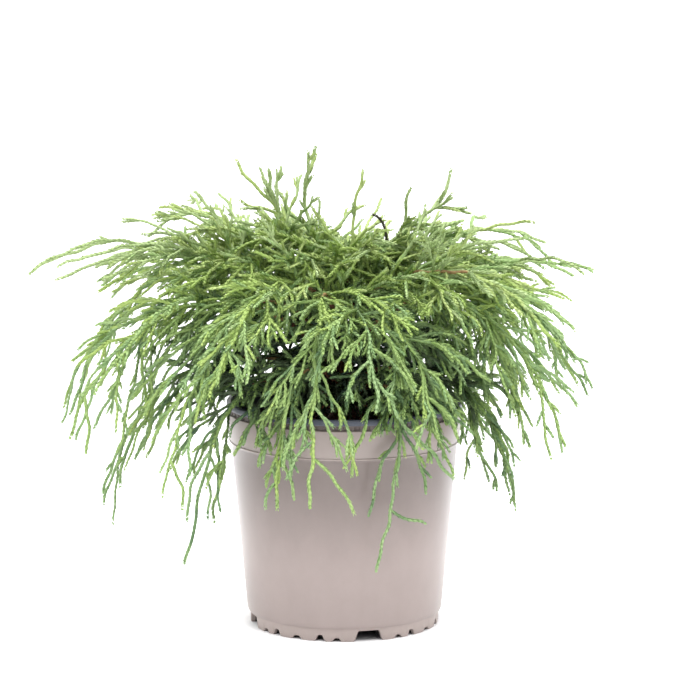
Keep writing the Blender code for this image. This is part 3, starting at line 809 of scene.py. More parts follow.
def fine_twig(tier, rng, path, place, side, rule, shorter):
    """A finer thread's start, its first and last direction and its length."""
    point, ahead = along(path, place)
    angle = rng.uniform(*rule["angles"])
    first = side_direction(point, ahead, side, angle, rng.uniform(*rule["rolls"]))
    beyond = marks_of(path)[-1] * (1 - place)
    length = shorter * (rng.uniform(*rule["lengths"]) + beyond * rng.uniform(*rule["shares"]))
    droop = CREST_FALL if is_low_on_crest(tier, point) else TIERS[tier]["droop"]
    fall = droop * rng.uniform(*FALL_DRAWS) * min(1, length / FULL_FALL_LENGTH)
    return point, first, falling(first, ahead, fall), length


def outwardness(points):
    """How far out of the heart points lie: about 1 where the crown ends."""
    return np.linalg.norm((points - HEART) / HEART_AXES, axis=-1)


def ceiling(points):
    """How high fine threads may reach over each point."""
    places, heights = np.array(CEILING).T / 1000
    return np.interp(points[:, 0], places, heights) - BACK_FALL * points[:, 1]


def is_in_the_open(point):
    """Whether a point lies where the crown is more open."""
    is_low_left = point[0] < OPEN_LEFT_X and point[2] < OPEN_LEFT_Z
    return point[1] < OPEN_FRONT_Y or is_low_left


def clear_of_pot(points, radius):
    """Whether every point of a thread stays outside the pot or above its soil."""
    room = radius + ROOM
    reach = np.hypot(points[:, 0], points[:, 1])
    outside = (points[:, 2] > POT_HEIGHT + room) | (reach > LIP_RADIUS + room)
    inside = (reach < STEP_RADIUS - WALL - room) & (points[:, 2] > SOIL_TOP + room)
    return bool((outside | inside).all())


class Space:
    """The room that limbs and twigs have taken, as thick segments with their owners."""

    def __init__(self):
        self.segments = []

    def take(self, path, radius, owner):
        self.segments += [(a, b, radius, owner) for a, b in zip(path[:-1], path[1:])]

    def is_free(self, path, radius, owner):
        """Whether a path stays clear of the pot, the soil and every other owner's segments."""
        runs = [np.linspace(a, b, SAMPLES) for a, b in zip(path[:-1], path[1:])]
        points = np.concatenate(runs)
        if not clear_of_pot(points, radius):
            return False
        others = [segment[:3] for segment in self.segments if segment[3] != owner]
        starts, ends, radii = (np.array(column) for column in zip(*others))
        runs = ends - starts
        offsets = points[:, None, :] - starts[None]
        share = (offsets * runs).sum(axis=2) / (runs * runs).sum(axis=1)
        share = np.clip(share, 0, 1)[:, :, None]
        gaps = np.linalg.norm(offsets - share * runs, axis=2) - radii - radius
        return gaps.min() > ROOM


class Cells:
    """The small cells of space that limbs and threads run through."""

    def __init__(self):
        self.limbs = set()
        self.threads = set()

    @staticmethod
    def keys(points):
        places = np.floor(points / CELL).astype(np.int64) + CELL_SPAN // 2
        return (places @ (CELL_SPAN ** 2, CELL_SPAN, 1)).tolist()

    def take_limb(self, path, radius):
        for direction in np.concatenate((np.eye(3), -np.eye(3), np.zeros((1, 3)))):
            self.limbs.update(self.keys(path + direction * radius))

    def take(self, path):
        self.threads.update(self.keys(path))

    def crowding(self, path):
        """The share of a thread beyond its root that runs where others are, 1 inside a limb."""
        keys = self.keys(path[ROOT_RUN:])
        if any(key in self.limbs for key in keys):
            return 1.0
        return sum(key in self.threads for key in keys) / max(1, len(keys))


def evenly(path, pitch):
    """The same path as points that lie an even pitch apart."""
    marks = marks_of(path)
    places = np.linspace(0, marks[-1], max(3, round(marks[-1] / pitch) + 1))
    return np.stack([np.interp(places, marks, path[:, axis]) for axis in range(3)], axis=1)


def waver(path, rng):
    """A real thread isn't a clean arc: it wavers a little, and not at its root."""
    marks = marks_of(path)
    ahead = unit(path[-1] - path[0])
    across = unit(np.cross(ahead, WAVER_ASIDE))
    grown = np.minimum(marks / WAVER_START, 1)
    for direction in (across, np.cross(ahead, across)):
        for wave, size in WAVERS:
            phase = rng.uniform(0, 2 * math.pi)
            swing = size * grown * np.sin(2 * math.pi * marks / wave + phase)
            path = path + direction * swing[:, None]
    return path


def thread_path(twig):
    """A side twig's path as points a leaf pair's pitch apart."""
    count = max(4, round(twig[3] / PITCH) + 1)
    return evenly(bend(*twig, count), PITCH)


class Thread:
    """One thread: its points a leaf pair's pitch apart, its level, and its own look."""

    def __init__(self, path, level, rng, bearer_youth=0.0, look="green", bare=0.0):
        self.path = path
        self.level = level
        self.look = look
        self.bare = bare
        self.youth = bearer_youth / 2 + rng.uniform(-YOUTH, YOUTH)
        self.vigour = rng.uniform(*VIGOURS)
        self.tint = rng.random()
        self.roll = rng.uniform(0, math.pi)
        self.seed = rng.randrange(1 << 30)


class Spray:
    """One mass of foliage: the stem and twigs of its solid, and the finer threads on them."""

    def __init__(self, tier, index, tip):
        self.tier = tier
        self.name = f"{tier}_foliage_{index + 1}"
        turn = 100 * list(TIERS).index(tier) + index
        self.rng = random.Random(SEED + turn)
        self.fine = random.Random(FINE_SEED + turn)
        self.reach = max(tip[1] / 1000, HEART_REACH) + OVERSHOOT
        self.lowest = min(tip[2] / 1000, HEART_FOOT) - OVERHANG
        self.spread = WHIPS.get(self.name, TIERS[tier]["spread"])
        self.twigs = []
        self.side = self.rng.choice((-1, 1))
        sways = SWAYS.get(self.name, (0, 0))
        self.stem = stem_path(tier, index, tip, sways, STEM_POINTS)
        stem = stem_path(tier, index, tip, sways, CURVE_POINTS)
        bare = LONG_BARE.get(self.name, BARE_SHARE)
        stem = waver(evenly(stem, PITCH), self.fine)
        self.threads = [Thread(stem, 1, self.fine, bare=bare)]
        self.bough = None
        if TIERS[tier]["length"] > 0:
            self.bough_name = f"{tier}_bough_{index + 1}"
            self.limb, _ = bough_path(tier, index, tip[0] + sways[0], LIMB_POINTS)
            self.solid_limb, _ = bough_path(tier, index, tip[0] + sways[0], BOUGH_POINTS)
            self.bough = Thread(evenly(self.limb, PITCH), 0, self.fine)

    def keeps_in(self, path):
        """Whether a path stays within the spray's own reach, above its hem and below the top."""
        reach = np.hypot(path[:, 0], path[:, 1]).max()
        lowest = path[:, 2].min()
        return reach < self.reach and lowest > self.lowest and path[:, 2].max() < CROWN_TOP

    def add_thread(self, path, level, youth, look="green"):
        path = waver(path, self.fine)
        self.threads.append(Thread(path, level, self.fine, youth, look))

    def grow_twig(self, parent, place, share, space, level):
        """Tries a few draws of the solid's side twig and keeps the first that has room."""
        path, thread = parent
        self.side = -self.side
        for attempt in range(TRIES):
            shorter = share * (1 - SHORTER_EACH_TRY * attempt)
            twig = side_twig(self.tier, self.rng, path, place, self.side, shorter)
            solid = bend(*twig, TWIG_POINTS)
            if self.keeps_in(solid) and space.is_free(solid, TWIG_RADIUS, self.name):
                space.take(solid, TWIG_RADIUS, self.name)
                start, _ = along(thread.path, place)
                self.add_thread(thread_path((start,) + twig[1:]), level, thread.youth)
                self.twigs.append((solid, self.threads[-1]))
                return

    def grow_leaf(self, parent, place, space):
        """The solid's leaf is a short stub here."""
        path, thread = parent
        point, ahead = along(path, place)
        self.side = -self.side
        roll = self.rng.uniform(-LEAF_ROLL, LEAF_ROLL)
        direction = side_direction(point, ahead, self.side, LEAF_ANGLE, roll)
        reach = np.array((point, point + direction * LEAF_LENGTH))
        if space.is_free(reach, LEAF_RADIUS, self.name):
            space.take(reach, LEAF_RADIUS, self.name)
            start, _ = along(thread.path, place)
            stub = (start, direction, unit(direction + ahead), LEAF_LENGTH)
            self.add_thread(thread_path(stub), TWIGLET_LEVEL, thread.youth)

    def grow_sprig(self, place, end, rise, look):
        """A single sprig, from the thread that is nearest to its place."""
        bearer = min(self.threads, key=lambda thread: gaps_to(thread.path, place).min())
        nearest = int(gaps_to(bearer.path[:-1], place).argmin())
        start = bearer.path[nearest]
        span = np.linalg.norm(end - start)
        ahead = unit(bearer.path[nearest + 1] - start)
        first = unit(unit(end - start) + ahead * SPRIG_FOLLOW)
        azimuth = math.degrees(math.atan2(end[1] - start[1], end[0] - start[0]))
        second = start + first * span * SPRIG_HANDLE
        third = end - heading(azimuth, rise) * span * SPRIG_HANDLE
        path = evenly(bezier(start, second, third, end, LIMB_POINTS), PITCH)
        self.add_thread(path, 2, 0.0, look)

    def grow_fine(self, bearer, rule, cells):
        """Finer threads on one bearer, where the cells round it leave them room."""
        rng = self.fine
        low, high = rule["places"]
        nearest, farthest = rule["zone"]
        is_twiglet = rule["level"] == TWIGLET_LEVEL
        count = int(marks_of(bearer.path)[-1] * (high - low) / rule["every"] + rng.random())
        side = rng.choice((-1, 1))
        for turn in range(count):
            place = low + (high - low) * (turn + rng.uniform(*FINE_STEP_DRAWS)) / count
            root, _ = along(bearer.path, place)
            stands_out = root[2] > CREST_BARE_Z
            if stands_out and not is_twiglet:
                continue
            is_open = is_in_the_open(root) and not is_twiglet
            if is_open and rng.random() < OPEN_SHARE:
                continue
            if not nearest <= outwardness(root) < farthest:
                continue
            side = -side
            for attempt in range(FINE_TRIES):
                shorter = 1 - SHORTER_EACH_TRY * attempt
                twig = fine_twig(self.tier, rng, bearer.path, place, side, rule, shorter)
                if twig[3] < SHORTEST_THREAD:
                    continue
                path = thread_path(twig)
                is_within = self.keeps_in(path) and clear_of_pot(path, THREAD_RADII[2][0])
                if not stands_out and (path[:, 2] > ceiling(path)).any():
                    continue
                if is_within and cells.crowding(path) <= MOST_CROWDED:
                    cells.take(path[ROOT_RUN:])
                    self.add_thread(path, rule["level"], bearer.youth)
                    break


def gaps_to(path, place):
    return np.linalg.norm(path - place, axis=1)


def grow_solids():
    """The growth of the solids again, with the same draws: boughs, stems, twigs and leaves."""
    space = Space()
    sprays = [Spray(tier, i, tip) for tier, tips in TIPS.items() for i, tip in enumerate(tips)]
    for spray in sprays:
        space.take(spray.stem, BOUGH_TIP_RADIUS, spray.name)
        if spray.bough:
            space.take(spray.solid_limb, BOUGH_ROOT_RADIUS, spray.bough_name)
    space.take(trunk_path(SAMPLES), TRUNK_FOOT_RADIUS, "trunk")
    for turn in range(SIDE_TWIGS):
        for spray in sprays:
            place = FIRST_TWIG + spray.spread * ((turn + spray.rng.uniform(*STEP_DRAWS)) / SIDE_TWIGS)
            share = TIERS[spray.tier]["share"]
            spray.grow_twig((spray.stem, spray.threads[0]), place, share, space, 2)
    for spray in sprays:
        for twig in spray.twigs[:SUB_TWIGS]:
            place = spray.rng.uniform(*MIDDLE_OF_TWIG)
            spray.grow_twig(twig, place, SUB_TWIG_SHARE, space, 3)
        for twig in spray.rng.sample(spray.twigs, min(LEAVES, len(spray.twigs))):
            spray.grow_leaf(twig, spray.rng.uniform(*MIDDLE_OF_TWIG), space)
    return sprays


def grow_crown():
    """The whole crown: the growth of the solids, the single sprigs and the finer threads."""
    sprays = grow_solids()
    cells = Cells()
    cells.take_limb(trunk_path(CURVE_POINTS), TRUNK_FOOT_RADIUS)
    for spray in sprays:
        for look, sprigs in (("green", SPRIGS), ("withered", WITHERED_SPRIGS)):
            for place, tip, rise in sprigs.get(spray.name, ()):
                spray.grow_sprig(np.array(place) / 1000, np.array(tip) / 1000, rise, look)
        if spray.bough:
            cells.take_limb(spray.bough.path, BOUGH_ROOT_RADIUS)
        for thread in spray.threads:
            cells.take(thread.path)
    for row in FINE_ROUNDS:
        rule = dict(zip(FINE_KEYS, row))
        for spray in sprays:
            bearers = [t for t in spray.threads if t.level in rule["on"] and t.look == "green"]
            if 0 in rule["on"] and spray.bough:
                bearers.append(spray.bough)
            for bearer in bearers:
                spray.grow_fine(bearer, rule, cells)
    return sprays


# The threads' meshes

def frames_along(path):
    """The directions ahead, across and over at each point of a path."""
    ahead = np.gradient(path, axis=0)
    ahead /= np.linalg.norm(ahead, axis=1)[:, None]
    axis = np.cross(ahead[0], ahead[-1])
    if np.linalg.norm(axis) < STRAIGHT:
        axis = np.cross(ahead[0], TURN_ASIDE)
    across = axis - (ahead @ axis)[:, None] * ahead
    across /= np.linalg.norm(across, axis=1)[:, None]
    return ahead, across, np.cross(ahead, across)


def tube_shape(path, radii, sides):
    """Rings round a path, closed at both ends. radii has a row for each ring."""
    ahead, across, over = frames_along(path)
    angles = np.linspace(0, 2 * math.pi, sides, endpoint=False)
    spokes = (
        across[:, None, :] * np.cos(angles)[None, :, None]
        + over[:, None, :] * np.sin(angles)[None, :, None]
    )
    radii = np.asarray(radii).reshape(len(path), -1, 1)
    rings = path[:, None, :] + spokes * radii
    ends = np.array((path[0], path[-1] + ahead[-1] * radii[-1].mean()))
    points = np.concatenate((rings.reshape(-1, 3), ends))
    here = np.arange(sides)
    after = (here + 1) % sides
    low = sides * np.arange(len(path) - 1)[:, None]
    top = (len(path) - 1) * sides
    corners = (
        (low + here, low + after, low + sides + after),
        (low + here, low + sides + after, low + sides + here),
        (after, here, np.full(sides, top + sides)),
        (top + here, top + after, np.full(sides, top + sides + 1)),
    )
    faces = [np.stack(three, axis=-1).reshape(-1, 3) for three in corners]
    return points, np.concatenate(faces)


def ramp(values, start, end):
    """0 before the start, 1 after the end, and even between them."""
    return np.clip((values - start) / (end - start), 0, 1)


def age_of(thread):
    """How young and how lit each point of a thread is painted, from 0 in the shaded heart to 1 on the
    lit dome.
    """
    outward = np.linalg.norm((thread.path - DOME) / DOME_AXES, axis=1)
    height = thread.path[:, 2]
    age = OUTWARD_AGE * ramp(outward, FIRST_LIGHT, 1.0)
    # Painted light: leaves high up are painted lighter
    age += TOP_PAINTED_LIGHT * ramp(height, *TOP_Z)
    age += TIP_AGE * np.linspace(0, 1, len(thread.path))
    age -= HARDENED_AGE * ramp(outward, *HARDENED_OUT) * ramp(height, *HARDENED_Z)
    reach = np.hypot(thread.path[:, 0], thread.path[:, 1])
    over_pot = ramp(height, *HANGING_Z) * ramp(reach, *HANGING_REACH)
    least = OUTER_AGE * ramp(outward, *OUTER_FROM) * (1 - over_pot)
    return np.maximum(age + thread.youth, least)


def hue_of(thread):
    """0 for a thread of the yellower hue, 1 for one of the bluer hue."""
    outward = np.linalg.norm((thread.path.mean(axis=0) - DOME) / DOME_AXES)
    inside, far_out = BLUER_SHARES
    return int(thread.tint < inside + (far_out - inside) * ramp(outward, *BLUER_FROM))


def grade_of(ages):
    """Which of the leaf finishes each age takes."""
    return np.searchsorted(AGE_LIMITS, ages, side="right")


def leaf_pairs(thread):
    """The scale leaves of a thread: pairs that turn by a quarter from one pair to the next."""
    rng = np.random.default_rng(thread.seed)
    ahead, across, over = frames_along(thread.path)
    count = len(thread.path)
    root_radius, tip_radius = THREAD_RADII[thread.level]
    taper = (tip_radius - root_radius) * np.linspace(0, 1, count)
    size = thread.vigour * (root_radius + taper)[:, None]
    half = size * LEAF_WIDTH / 2
    keep = np.arange(count) >= max(1, int(thread.bare * count))
    shapes = []
    for which in (0, 1):
        turn = thread.roll + math.pi / 2 * np.arange(count) + math.pi * which
        turn += rng.normal(0, TURN_SPREAD, count)
        out = across * np.cos(turn)[:, None] + over * np.sin(turn)[:, None]
        aside = np.cross(ahead, out) * half
        run = LEAF_RUN * rng.uniform(*RUN_DRAWS, count)[:, None]
        run[-2:] *= LAST_RUN
        spread = np.radians(rng.uniform(*SPREADS, count))[:, None]
        spread[-2:] = math.radians(LAST_SPREAD)
        points = [
            thread.path + ahead * run * forward + out * size * outward + aside * sideways
            for forward, outward, sideways in LEAF_OUTLINE
        ]
        rise = size * LEAF_TIP_OUT + run * np.sin(spread)
        points.append(thread.path + ahead * run * np.cos(spread) + out * rise)
        shapes.append(np.stack(points, axis=1)[keep])
    return np.concatenate(shapes), np.tile(age_of(thread)[keep], 2)


def add_leaves(batch, shapes, finish=0):
    """Adds leaves of five points and four faces each to a batch."""
    starts = np.arange(len(shapes)) * shapes.shape[1]
    triangles = (starts[:, None, None] + LEAF_FACES[None]).reshape(-1, 3)
    batch.add(shapes.reshape(-1, 3), triangles, finish)


def core_of(thread):
    """The slim green twig inside a thread's leaves, beyond its bare run."""
    first = int(thread.bare * len(thread.path))
    path = thread.path[first::3]
    if len(path) < 3:
        path = thread.path[first:]
    radii = np.linspace(*THREAD_RADII[thread.level], len(path)) * thread.vigour * CORE_SHARE
    radii[-1] /= 2
    return tube_shape(path, radii, CORE_SIDES)


def bare_run(thread):
    """The bark-clad first run of a spray's stem."""
    last = int(thread.bare * len(thread.path)) + 2
    path = thread.path[:last]
    radii = np.linspace(BOUGH_TIP_RADIUS, THREAD_RADII[1][0] * BARE_TIP_SHARE, len(path))
    return tube_shape(path, radii, STEM_SIDES)


def build_tier(tier, sprays, leaf_materials, bark, withered):
    """The pieces of one tier: leaves by age, the twigs in them, bare runs and dead sprigs."""
    nodes = [spray.name for spray in sprays]
    leaves = [Batch() for _ in AGES]
    twigs = Batch()
    bare = Batch()
    dead = Batch()
    for thread in [thread for spray in sprays for thread in spray.threads]:
        shapes, ages = leaf_pairs(thread)
        if thread.look == "withered":
            add_leaves(dead, shapes)
            dead.add(*core_of(thread))
            continue
        hue = hue_of(thread)
        twigs.add(*core_of(thread), 2 * grade_of(age_of(thread).mean()) + hue)
        if thread.bare > 0:
            bare.add(*bare_run(thread))
        grades = grade_of(ages)
        for grade in np.unique(grades):
            add_leaves(leaves[grade], shapes[grades == grade], hue)
    hues = [hue for pair in leaf_materials for hue in pair]
    add_piece(twigs.mesh(tier + "_twigs", True), hues, nodes)
    for age, batch, pair in zip(AGES, leaves, leaf_materials):
        if batch.count:
            add_piece(batch.mesh(f"{tier}_{age}_leaves", True), pair, nodes)
    add_piece(bare.mesh(tier + "_stems", True), [bark], nodes)
    if dead.count:
        add_piece(dead.mesh(tier + "_withered_sprigs", False), [withered], [])


# The limbs

def limb_shape(path, radii, sides, depth):
    """A limb with the relief of its bark's long fibres."""
    path = evenly(path, BARK_PITCH)
    radii = np.interp(np.linspace(0, 1, len(path)), np.linspace(0, 1, len(radii)), radii)
    angles = np.linspace(0, 2 * math.pi, sides, endpoint=False)
    rough = np.empty((len(path), sides))
    for k, (radius, mark) in enumerate(zip(radii, marks_of(path))):
        reach = radius / FIBRE_WIDTH
        for j, angle in enumerate(angles):
            place = Vector((math.cos(angle) * reach, math.sin(angle) * reach, mark / FIBRE_LENGTH))
            fibres = noise.noise(place) + FINER_DEPTH * noise.noise(place * FINER)
            rough[k, j] = radius + depth * fibres
    return tube_shape(path, rough, sides)


def build_limbs(sprays, bark):
    path = trunk_path(CURVE_POINTS)
    radii = [trunk_radius(z) for z in path[:, 2]]
    trunk = Batch()
    trunk.add(*limb_shape(path, radii, TRUNK_SIDES, TRUNK_RELIEF))
    add_piece(trunk.mesh("trunk_bark", True), [bark], ["trunk"])
    for tier in TIERS:
        mine = [spray for spray in sprays if spray.tier == tier and spray.bough]
        if not mine:
            continue
        limbs = Batch()
        for spray in mine:
            radii = (BOUGH_ROOT_RADIUS, BOUGH_TIP_RADIUS)
            limbs.add(*limb_shape(spray.limb, radii, BOUGH_SIDES, BOUGH_RELIEF))
        nodes = [spray.bough_name for spray in mine]
        add_piece(limbs.mesh(tier + "_boughs", True), [bark], nodes)


# The pot

def arc(radius, height, size, start, end, steps=5):
    """Points of a rounding about (radius, height), from one angle to another in degrees."""
    return [
        (radius + size * math.cos(math.radians(a)), height + size * math.sin(math.radians(a)))
        for a in np.linspace(start, end, steps)
    ]


def foot_lift(angles):
    """How high the foot's lower edge is lifted at each angle, by tunnels and notches."""
    quarter = 360 / TUNNEL_COUNT
    cuts = []
    for i in range(TUNNEL_COUNT):
        middle = TUNNEL_AZIMUTH + quarter * i
        cuts.append((middle, TUNNEL_WIDTH, TUNNEL_TOP_WIDTH, TUNNEL_HEIGHT))
        for offset, width, height in NOTCHES:
            cuts.append((middle + quarter / 2 + offset, width, width * NOTCH_TOP_SHARE, height))
    lift = np.zeros(len(angles))
    for azimuth, width, top_width, height in cuts:
        away = np.abs((np.degrees(angles) - azimuth + 180) % 360 - 180)
        aside = np.radians(away) * FOOT_RADIUS
        slope = (width / 2 - aside) / (width / 2 - top_width / 2)
        lift = np.maximum(lift, height * np.clip(slope, 0, 1))
    window = np.ones(CORNER_ROUND_STEPS) / CORNER_ROUND_STEPS
    ends = CORNER_ROUND_STEPS // 2
    return np.convolve(np.concatenate((lift[-ends:], lift, lift[:ends])), window, mode="valid")


def pot_profile():
    """The pot's profile from its floor inside, over the lip and down to the top of its foot.

    Each part is the finish of the faces that end at its rings, how deep the neck's slots cut it,
    and its rings as radius and height.
    """
    lip_foot = POT_HEIGHT - LIP_HEIGHT
    band_top = lip_foot - NECK_HEIGHT
    inner = NECK_RADIUS - WALL
    lining = [
        (0.0, FLOOR_Z),
        (FOOT_TOP_RADIUS - 2 * WALL, FLOOR_Z),
        (BODY_FOOT_RADIUS - WALL, BODY_FOOT_Z + WALL),
        (STEP_RADIUS - WALL, STEP_Z),
        (BAND_FOOT_RADIUS - WALL, BAND_FOOT_Z + WALL),
        (inner, lip_foot),
    ]
    lining += arc(inner + EDGE_ROUND, POT_HEIGHT - EDGE_ROUND, EDGE_ROUND, 180, 90)
    lining += [(LIP_RADIUS - 2 * LIP_ROUND, POT_HEIGHT - RIM_GROOVE)]
    lining += arc(LIP_RADIUS - LIP_ROUND, POT_HEIGHT - LIP_ROUND, LIP_ROUND, 80, 0)
    lining += arc(LIP_RADIUS - EDGE_ROUND, lip_foot + EDGE_ROUND, EDGE_ROUND, 0, -90)
    neck = [(NECK_RADIUS, lip_foot - CREASE), (NECK_RADIUS, lip_foot - 6 * CREASE)]
    slots = [(NECK_RADIUS, lip_foot - 7 * CREASE), (NECK_RADIUS, band_top + 5 * CREASE)]
    band = [(NECK_RADIUS, band_top + 4 * CREASE), (NECK_RADIUS, band_top)]
    band += arc(BAND_TOP_RADIUS - EDGE_ROUND, band_top - EDGE_ROUND, EDGE_ROUND, 90, 0)
    bead = arc(BAND_FOOT_RADIUS - BEAD * BEAD_SET_IN, BAND_FOOT_Z, BEAD, 80, -45, 6)
    body = [(STEP_RADIUS + 4 * CREASE, STEP_Z + 8 * CREASE), (STEP_RADIUS, STEP_Z)]
    for s in np.linspace(0.9, 0.0, BODY_RINGS):
        radius = BODY_FOOT_RADIUS + (STEP_RADIUS - BODY_FOOT_RADIUS) * s
        body.append((radius, BODY_FOOT_Z + (STEP_Z - BODY_FOOT_Z) * s))
    for s in CURVE_SHARES:
        radius = BODY_FOOT_RADIUS - (BODY_FOOT_RADIUS - STEP_LINE_RADIUS) * s ** CURVE_POWER
        body.append((radius, BODY_FOOT_Z - (BODY_FOOT_Z - FOOT_HEIGHT) * s))
    body.append((FOOT_TOP_RADIUS, FOOT_HEIGHT + CREASE))
    foot = [(FOOT_TOP_RADIUS - CREASE, FOOT_HEIGHT - 5 * CREASE)]
    return (
        ("lining", 0.0, lining), ("neck", 0.0, neck), ("neck", NECK_SLOT_DEPTH, slots),
        ("body", 0.0, band), ("bead", 0.0, bead), ("body", 0.0, body), ("foot", 0.0, foot),
    )


def pot_rings(angles):
    """All rings of the pot, each as its finish and its radius and height at each angle."""
    flat = np.zeros(len(angles))
    is_slot = (angles * NECK_SLOTS / (2 * math.pi)) % 1.0 < NECK_SLOT_SHARE
    rings = []
    for finish, depth, profile in pot_profile():
        rings += [(finish, radius - depth * is_slot, flat + height) for radius, height in profile]
    edge = (
        ("foot", FOOT_RADIUS + CREASE, 8 * CREASE), ("foot", FOOT_RADIUS - CREASE, 2 * CREASE),
        ("foot", FOOT_RADIUS - 5 * CREASE, 0.0), ("foot", FOOT_RADIUS - 2 * WALL, 0.0),
        ("underside", FOOT_INNER_RADIUS + 4 * CREASE, 0.0),
        ("underside", FOOT_INNER_RADIUS, 4 * CREASE),
    )
    lift = foot_lift(angles)
    top = FOOT_HEIGHT - 8 * CREASE
    rings += [(finish, flat + radius, np.minimum(lift + z, top)) for finish, radius, z in edge]
    below = (
        (FOOT_INNER_RADIUS - 3 * CREASE, FLOOR_UNDERSIDE_Z), (BOSS_RADIUS, FLOOR_UNDERSIDE_Z),
        (BOSS_RADIUS - 2 * CREASE, 0.0), (0.0, 0.0),
    )
    return rings + [("underside", flat + radius, flat + height) for radius, height in below]


def build_pot():
    """The pot as one turned mesh, with the slots of its neck and the cuts of its foot."""
    angles = np.linspace(0, 2 * math.pi, POT_STEPS, endpoint=False)
    rings = []
    finishes = []
    for finish, radii, heights in pot_rings(angles):
        points = list(zip(radii * np.cos(angles), radii * np.sin(angles), heights))
        rings.append(points if radii[0] > 0 else points[:1])
        finishes.append(list(POT_FINISHES).index(finish))
    mesh = ringed_mesh("nursery_pot", rings, finishes)
    mesh.set_sharp_from_angle(angle=math.radians(SHARP_ANGLE))
    materials = [pot_material(*finish) for finish in POT_FINISHES.values()]
    add_piece(mesh, materials, ["pot"])


# The soil

def rounded_lump():
    """The points and faces of a small round lump of radius 1."""
    work = bmesh.new()
    bmesh.ops.create_icosphere(work, subdivisions=1, radius=1.0)
    points = np.array([vertex.co for vertex in work.verts])
    faces = np.array([[vertex.index for vertex in face.verts] for face in work.faces])
    work.free()
    return points, faces


def soil_height(x, y):
    """The top of the soil: lumpy, and lower towards the pot's wall."""
    reach = math.hypot(x, y) / (BAND_FOOT_RADIUS - WALL)
    waves = noise.noise(Vector((x, y, 0.0)) * SOIL_WAVES)
    waves += FINER_SHARE * noise.noise(Vector((x, y, 0.3)) * FINER_WAVES)
    return SOIL_TOP - SOIL_EDGE_DROP * reach ** 2 + SOIL_RELIEF * (waves - WAVES_MEAN)


def scattered(count, sizes, flatness, rng):
    """Lumps scattered over the soil, half sunk into it."""
    batch = Batch()
    points, faces = rounded_lump()
    edge = STEP_RADIUS - WALL - BARE_EDGE
    for _ in range(count):
        size = rng.uniform(*sizes)
        reach = (edge - size) * math.sqrt(rng.random())
        azimuth = rng.uniform(0, 2 * math.pi)
        x, y = reach * math.cos(azimuth), reach * math.sin(azimuth)
        stretch = np.array((rng.uniform(*LUMP_LENGTHS), rng.uniform(*LUMP_WIDTHS), flatness))
        dents = np.array([[rng.uniform(*LUMP_DENTS)] for _ in points])
        turn = rng.uniform(0, 2 * math.pi)
        tilt = rng.uniform(*LUMP_TILTS)
        shape = points * dents * stretch * size
        c, s = math.cos(tilt), math.sin(tilt)
        shape = shape @ np.array(((c, 0, s), (0, 1, 0), (-s, 0, c))).T
        c, s = math.cos(turn), math.sin(turn)
        shape = shape @ np.array(((c, -s, 0), (s, c, 0), (0, 0, 1))).T
        batch.add(shape + (x, y, soil_height(x, y)), faces)
    return batch


def build_soil(peat, chip):
    """Soil to below the lip: its lumpy top, crumbs of peat and chips of bark."""
    edge = BAND_FOOT_RADIUS - WALL - CLEARANCE
    foot = STEP_RADIUS - WALL - CLEARANCE
    angles = np.linspace(0, 2 * math.pi, SOIL_STEPS, endpoint=False)
    spokes = [(math.cos(a), math.sin(a)) for a in angles]
    rings = [[(0.0, 0.0, soil_height(0.0, 0.0))]]
    for k in range(1, SOIL_RINGS + 1):
        reach = edge * k / SOIL_RINGS
        rings.append([(reach * c, reach * s, soil_height(reach * c, reach * s)) for c, s in spokes])
    for radius, height in ((edge, BAND_FOOT_Z + 2 * WALL), (foot, STEP_Z - WALL)):
        rings.append([(radius * c, radius * s, height) for c, s in spokes])
    mesh = ringed_mesh("peat_mix", rings, [0] * len(rings))
    add_piece(mesh, [peat], ["potting_soil"])
    rng = random.Random(SEED)
    crumbs = scattered(CRUMBS, CRUMB_SIZES, CRUMB_FLATNESS, rng)
    chips = scattered(CHIPS, CHIP_SIZES, CHIP_FLATNESS, rng)
    add_piece(crumbs.mesh("peat_crumbs", False), [peat], [])
    add_piece(chips.mesh("bark_chips", False), [chip], [])


# The studio

def build_table():
    mesh = bpy.data.meshes.new("light_table")
    work = bmesh.new()
    bmesh.ops.create_circle(work, cap_ends=True, segments=96, radius=TABLE_RADIUS)
    work.to_mesh(mesh)
    work.free()
    table = bpy.data.objects.new("light_table", mesh)
    bpy.context.scene.collection.objects.link(table)
    mesh.materials.append(table_material())


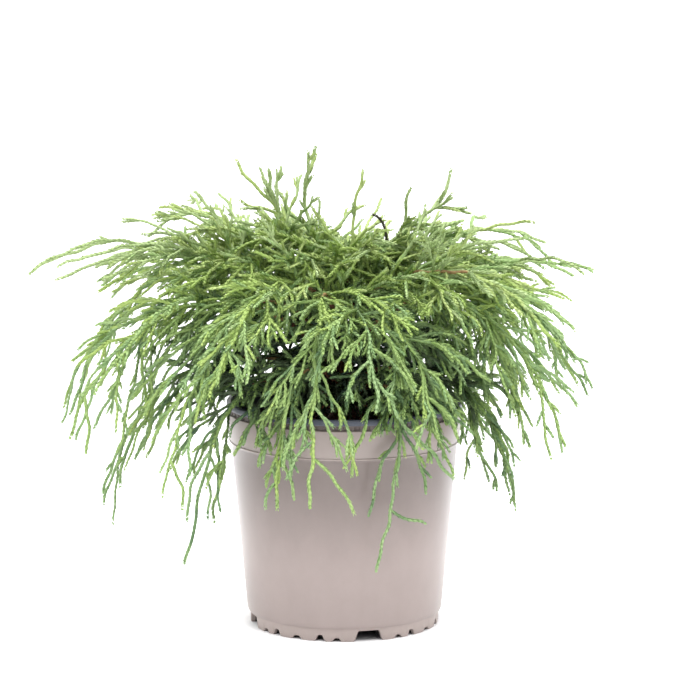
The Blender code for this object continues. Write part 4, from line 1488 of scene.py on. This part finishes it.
def studio_walls():
    """White walls and ceiling, dimmer low on the photographer's side, towards -Y."""
    world = bpy.data.worlds.new("white_studio_walls")
    world.use_nodes = True
    tree = world.node_tree
    background = tree.nodes["Background"]
    background.inputs["Color"].default_value = (1.0, 1.0, 1.0, 1.0)
    direction = add_node(tree, "ShaderNodeTexCoord", {}, {}, "Generated")
    inputs = {0: direction, 1: (0.0, 1.0, CEILING_SHARE)}
    dot_product = {"operation": "DOT_PRODUCT"}
    towards = add_node(tree, "ShaderNodeVectorMath", dot_product, inputs, "Value")
    glow = add_node(tree, "ShaderNodeMapRange", SMOOTH, mapped(towards, WALLS_FROM, WALLS))
    tree.links.new(glow, background.inputs["Strength"])
    return world


def add_softbox():
    """A square area light over the table, that looks at the middle of the plant."""
    light = bpy.data.lights.new("overhead_softbox", "AREA")
    light.shape = "SQUARE"
    light.size = SOFTBOX_SIZE
    light.energy = SOFTBOX_POWER
    item = bpy.data.objects.new("overhead_softbox", light)
    bpy.context.scene.collection.objects.link(item)
    item.location = SOFTBOX_PLACE
    aim = Vector(PLANT_MIDDLE) - Vector(SOFTBOX_PLACE)
    item.rotation_euler = aim.to_track_quat("-Z", "Y").to_euler()


def build_studio():
    scene = bpy.context.scene
    scene.view_settings.view_transform = "Standard"
    scene.world = studio_walls()
    build_table()
    add_softbox()
    camera = bpy.data.cameras.new("photograph_view")
    camera.lens = CAMERA_LENS
    camera.clip_end = CAMERA_REACH
    item = bpy.data.objects.new("photograph_view", camera)
    scene.collection.objects.link(item)
    item.location = CAMERA_PLACE
    item.rotation_euler = (math.pi / 2 - CAMERA_PITCH, 0.0, 0.0)
    scene.camera = item


def main():
    leaf_materials = [leaf_pair(*look) for _, *look in AGES.values()]
    stem_bark = young_bark_material()
    withered = withered_material()
    sprays = grow_crown()
    for tier in TIERS:
        mine = [spray for spray in sprays if spray.tier == tier]
        build_tier(tier, mine, leaf_materials, stem_bark, withered)
    build_limbs(sprays, bark_material())
    build_pot()
    build_soil(soil_material(*PEAT), soil_material(*CHIP))
    build_studio()


main()
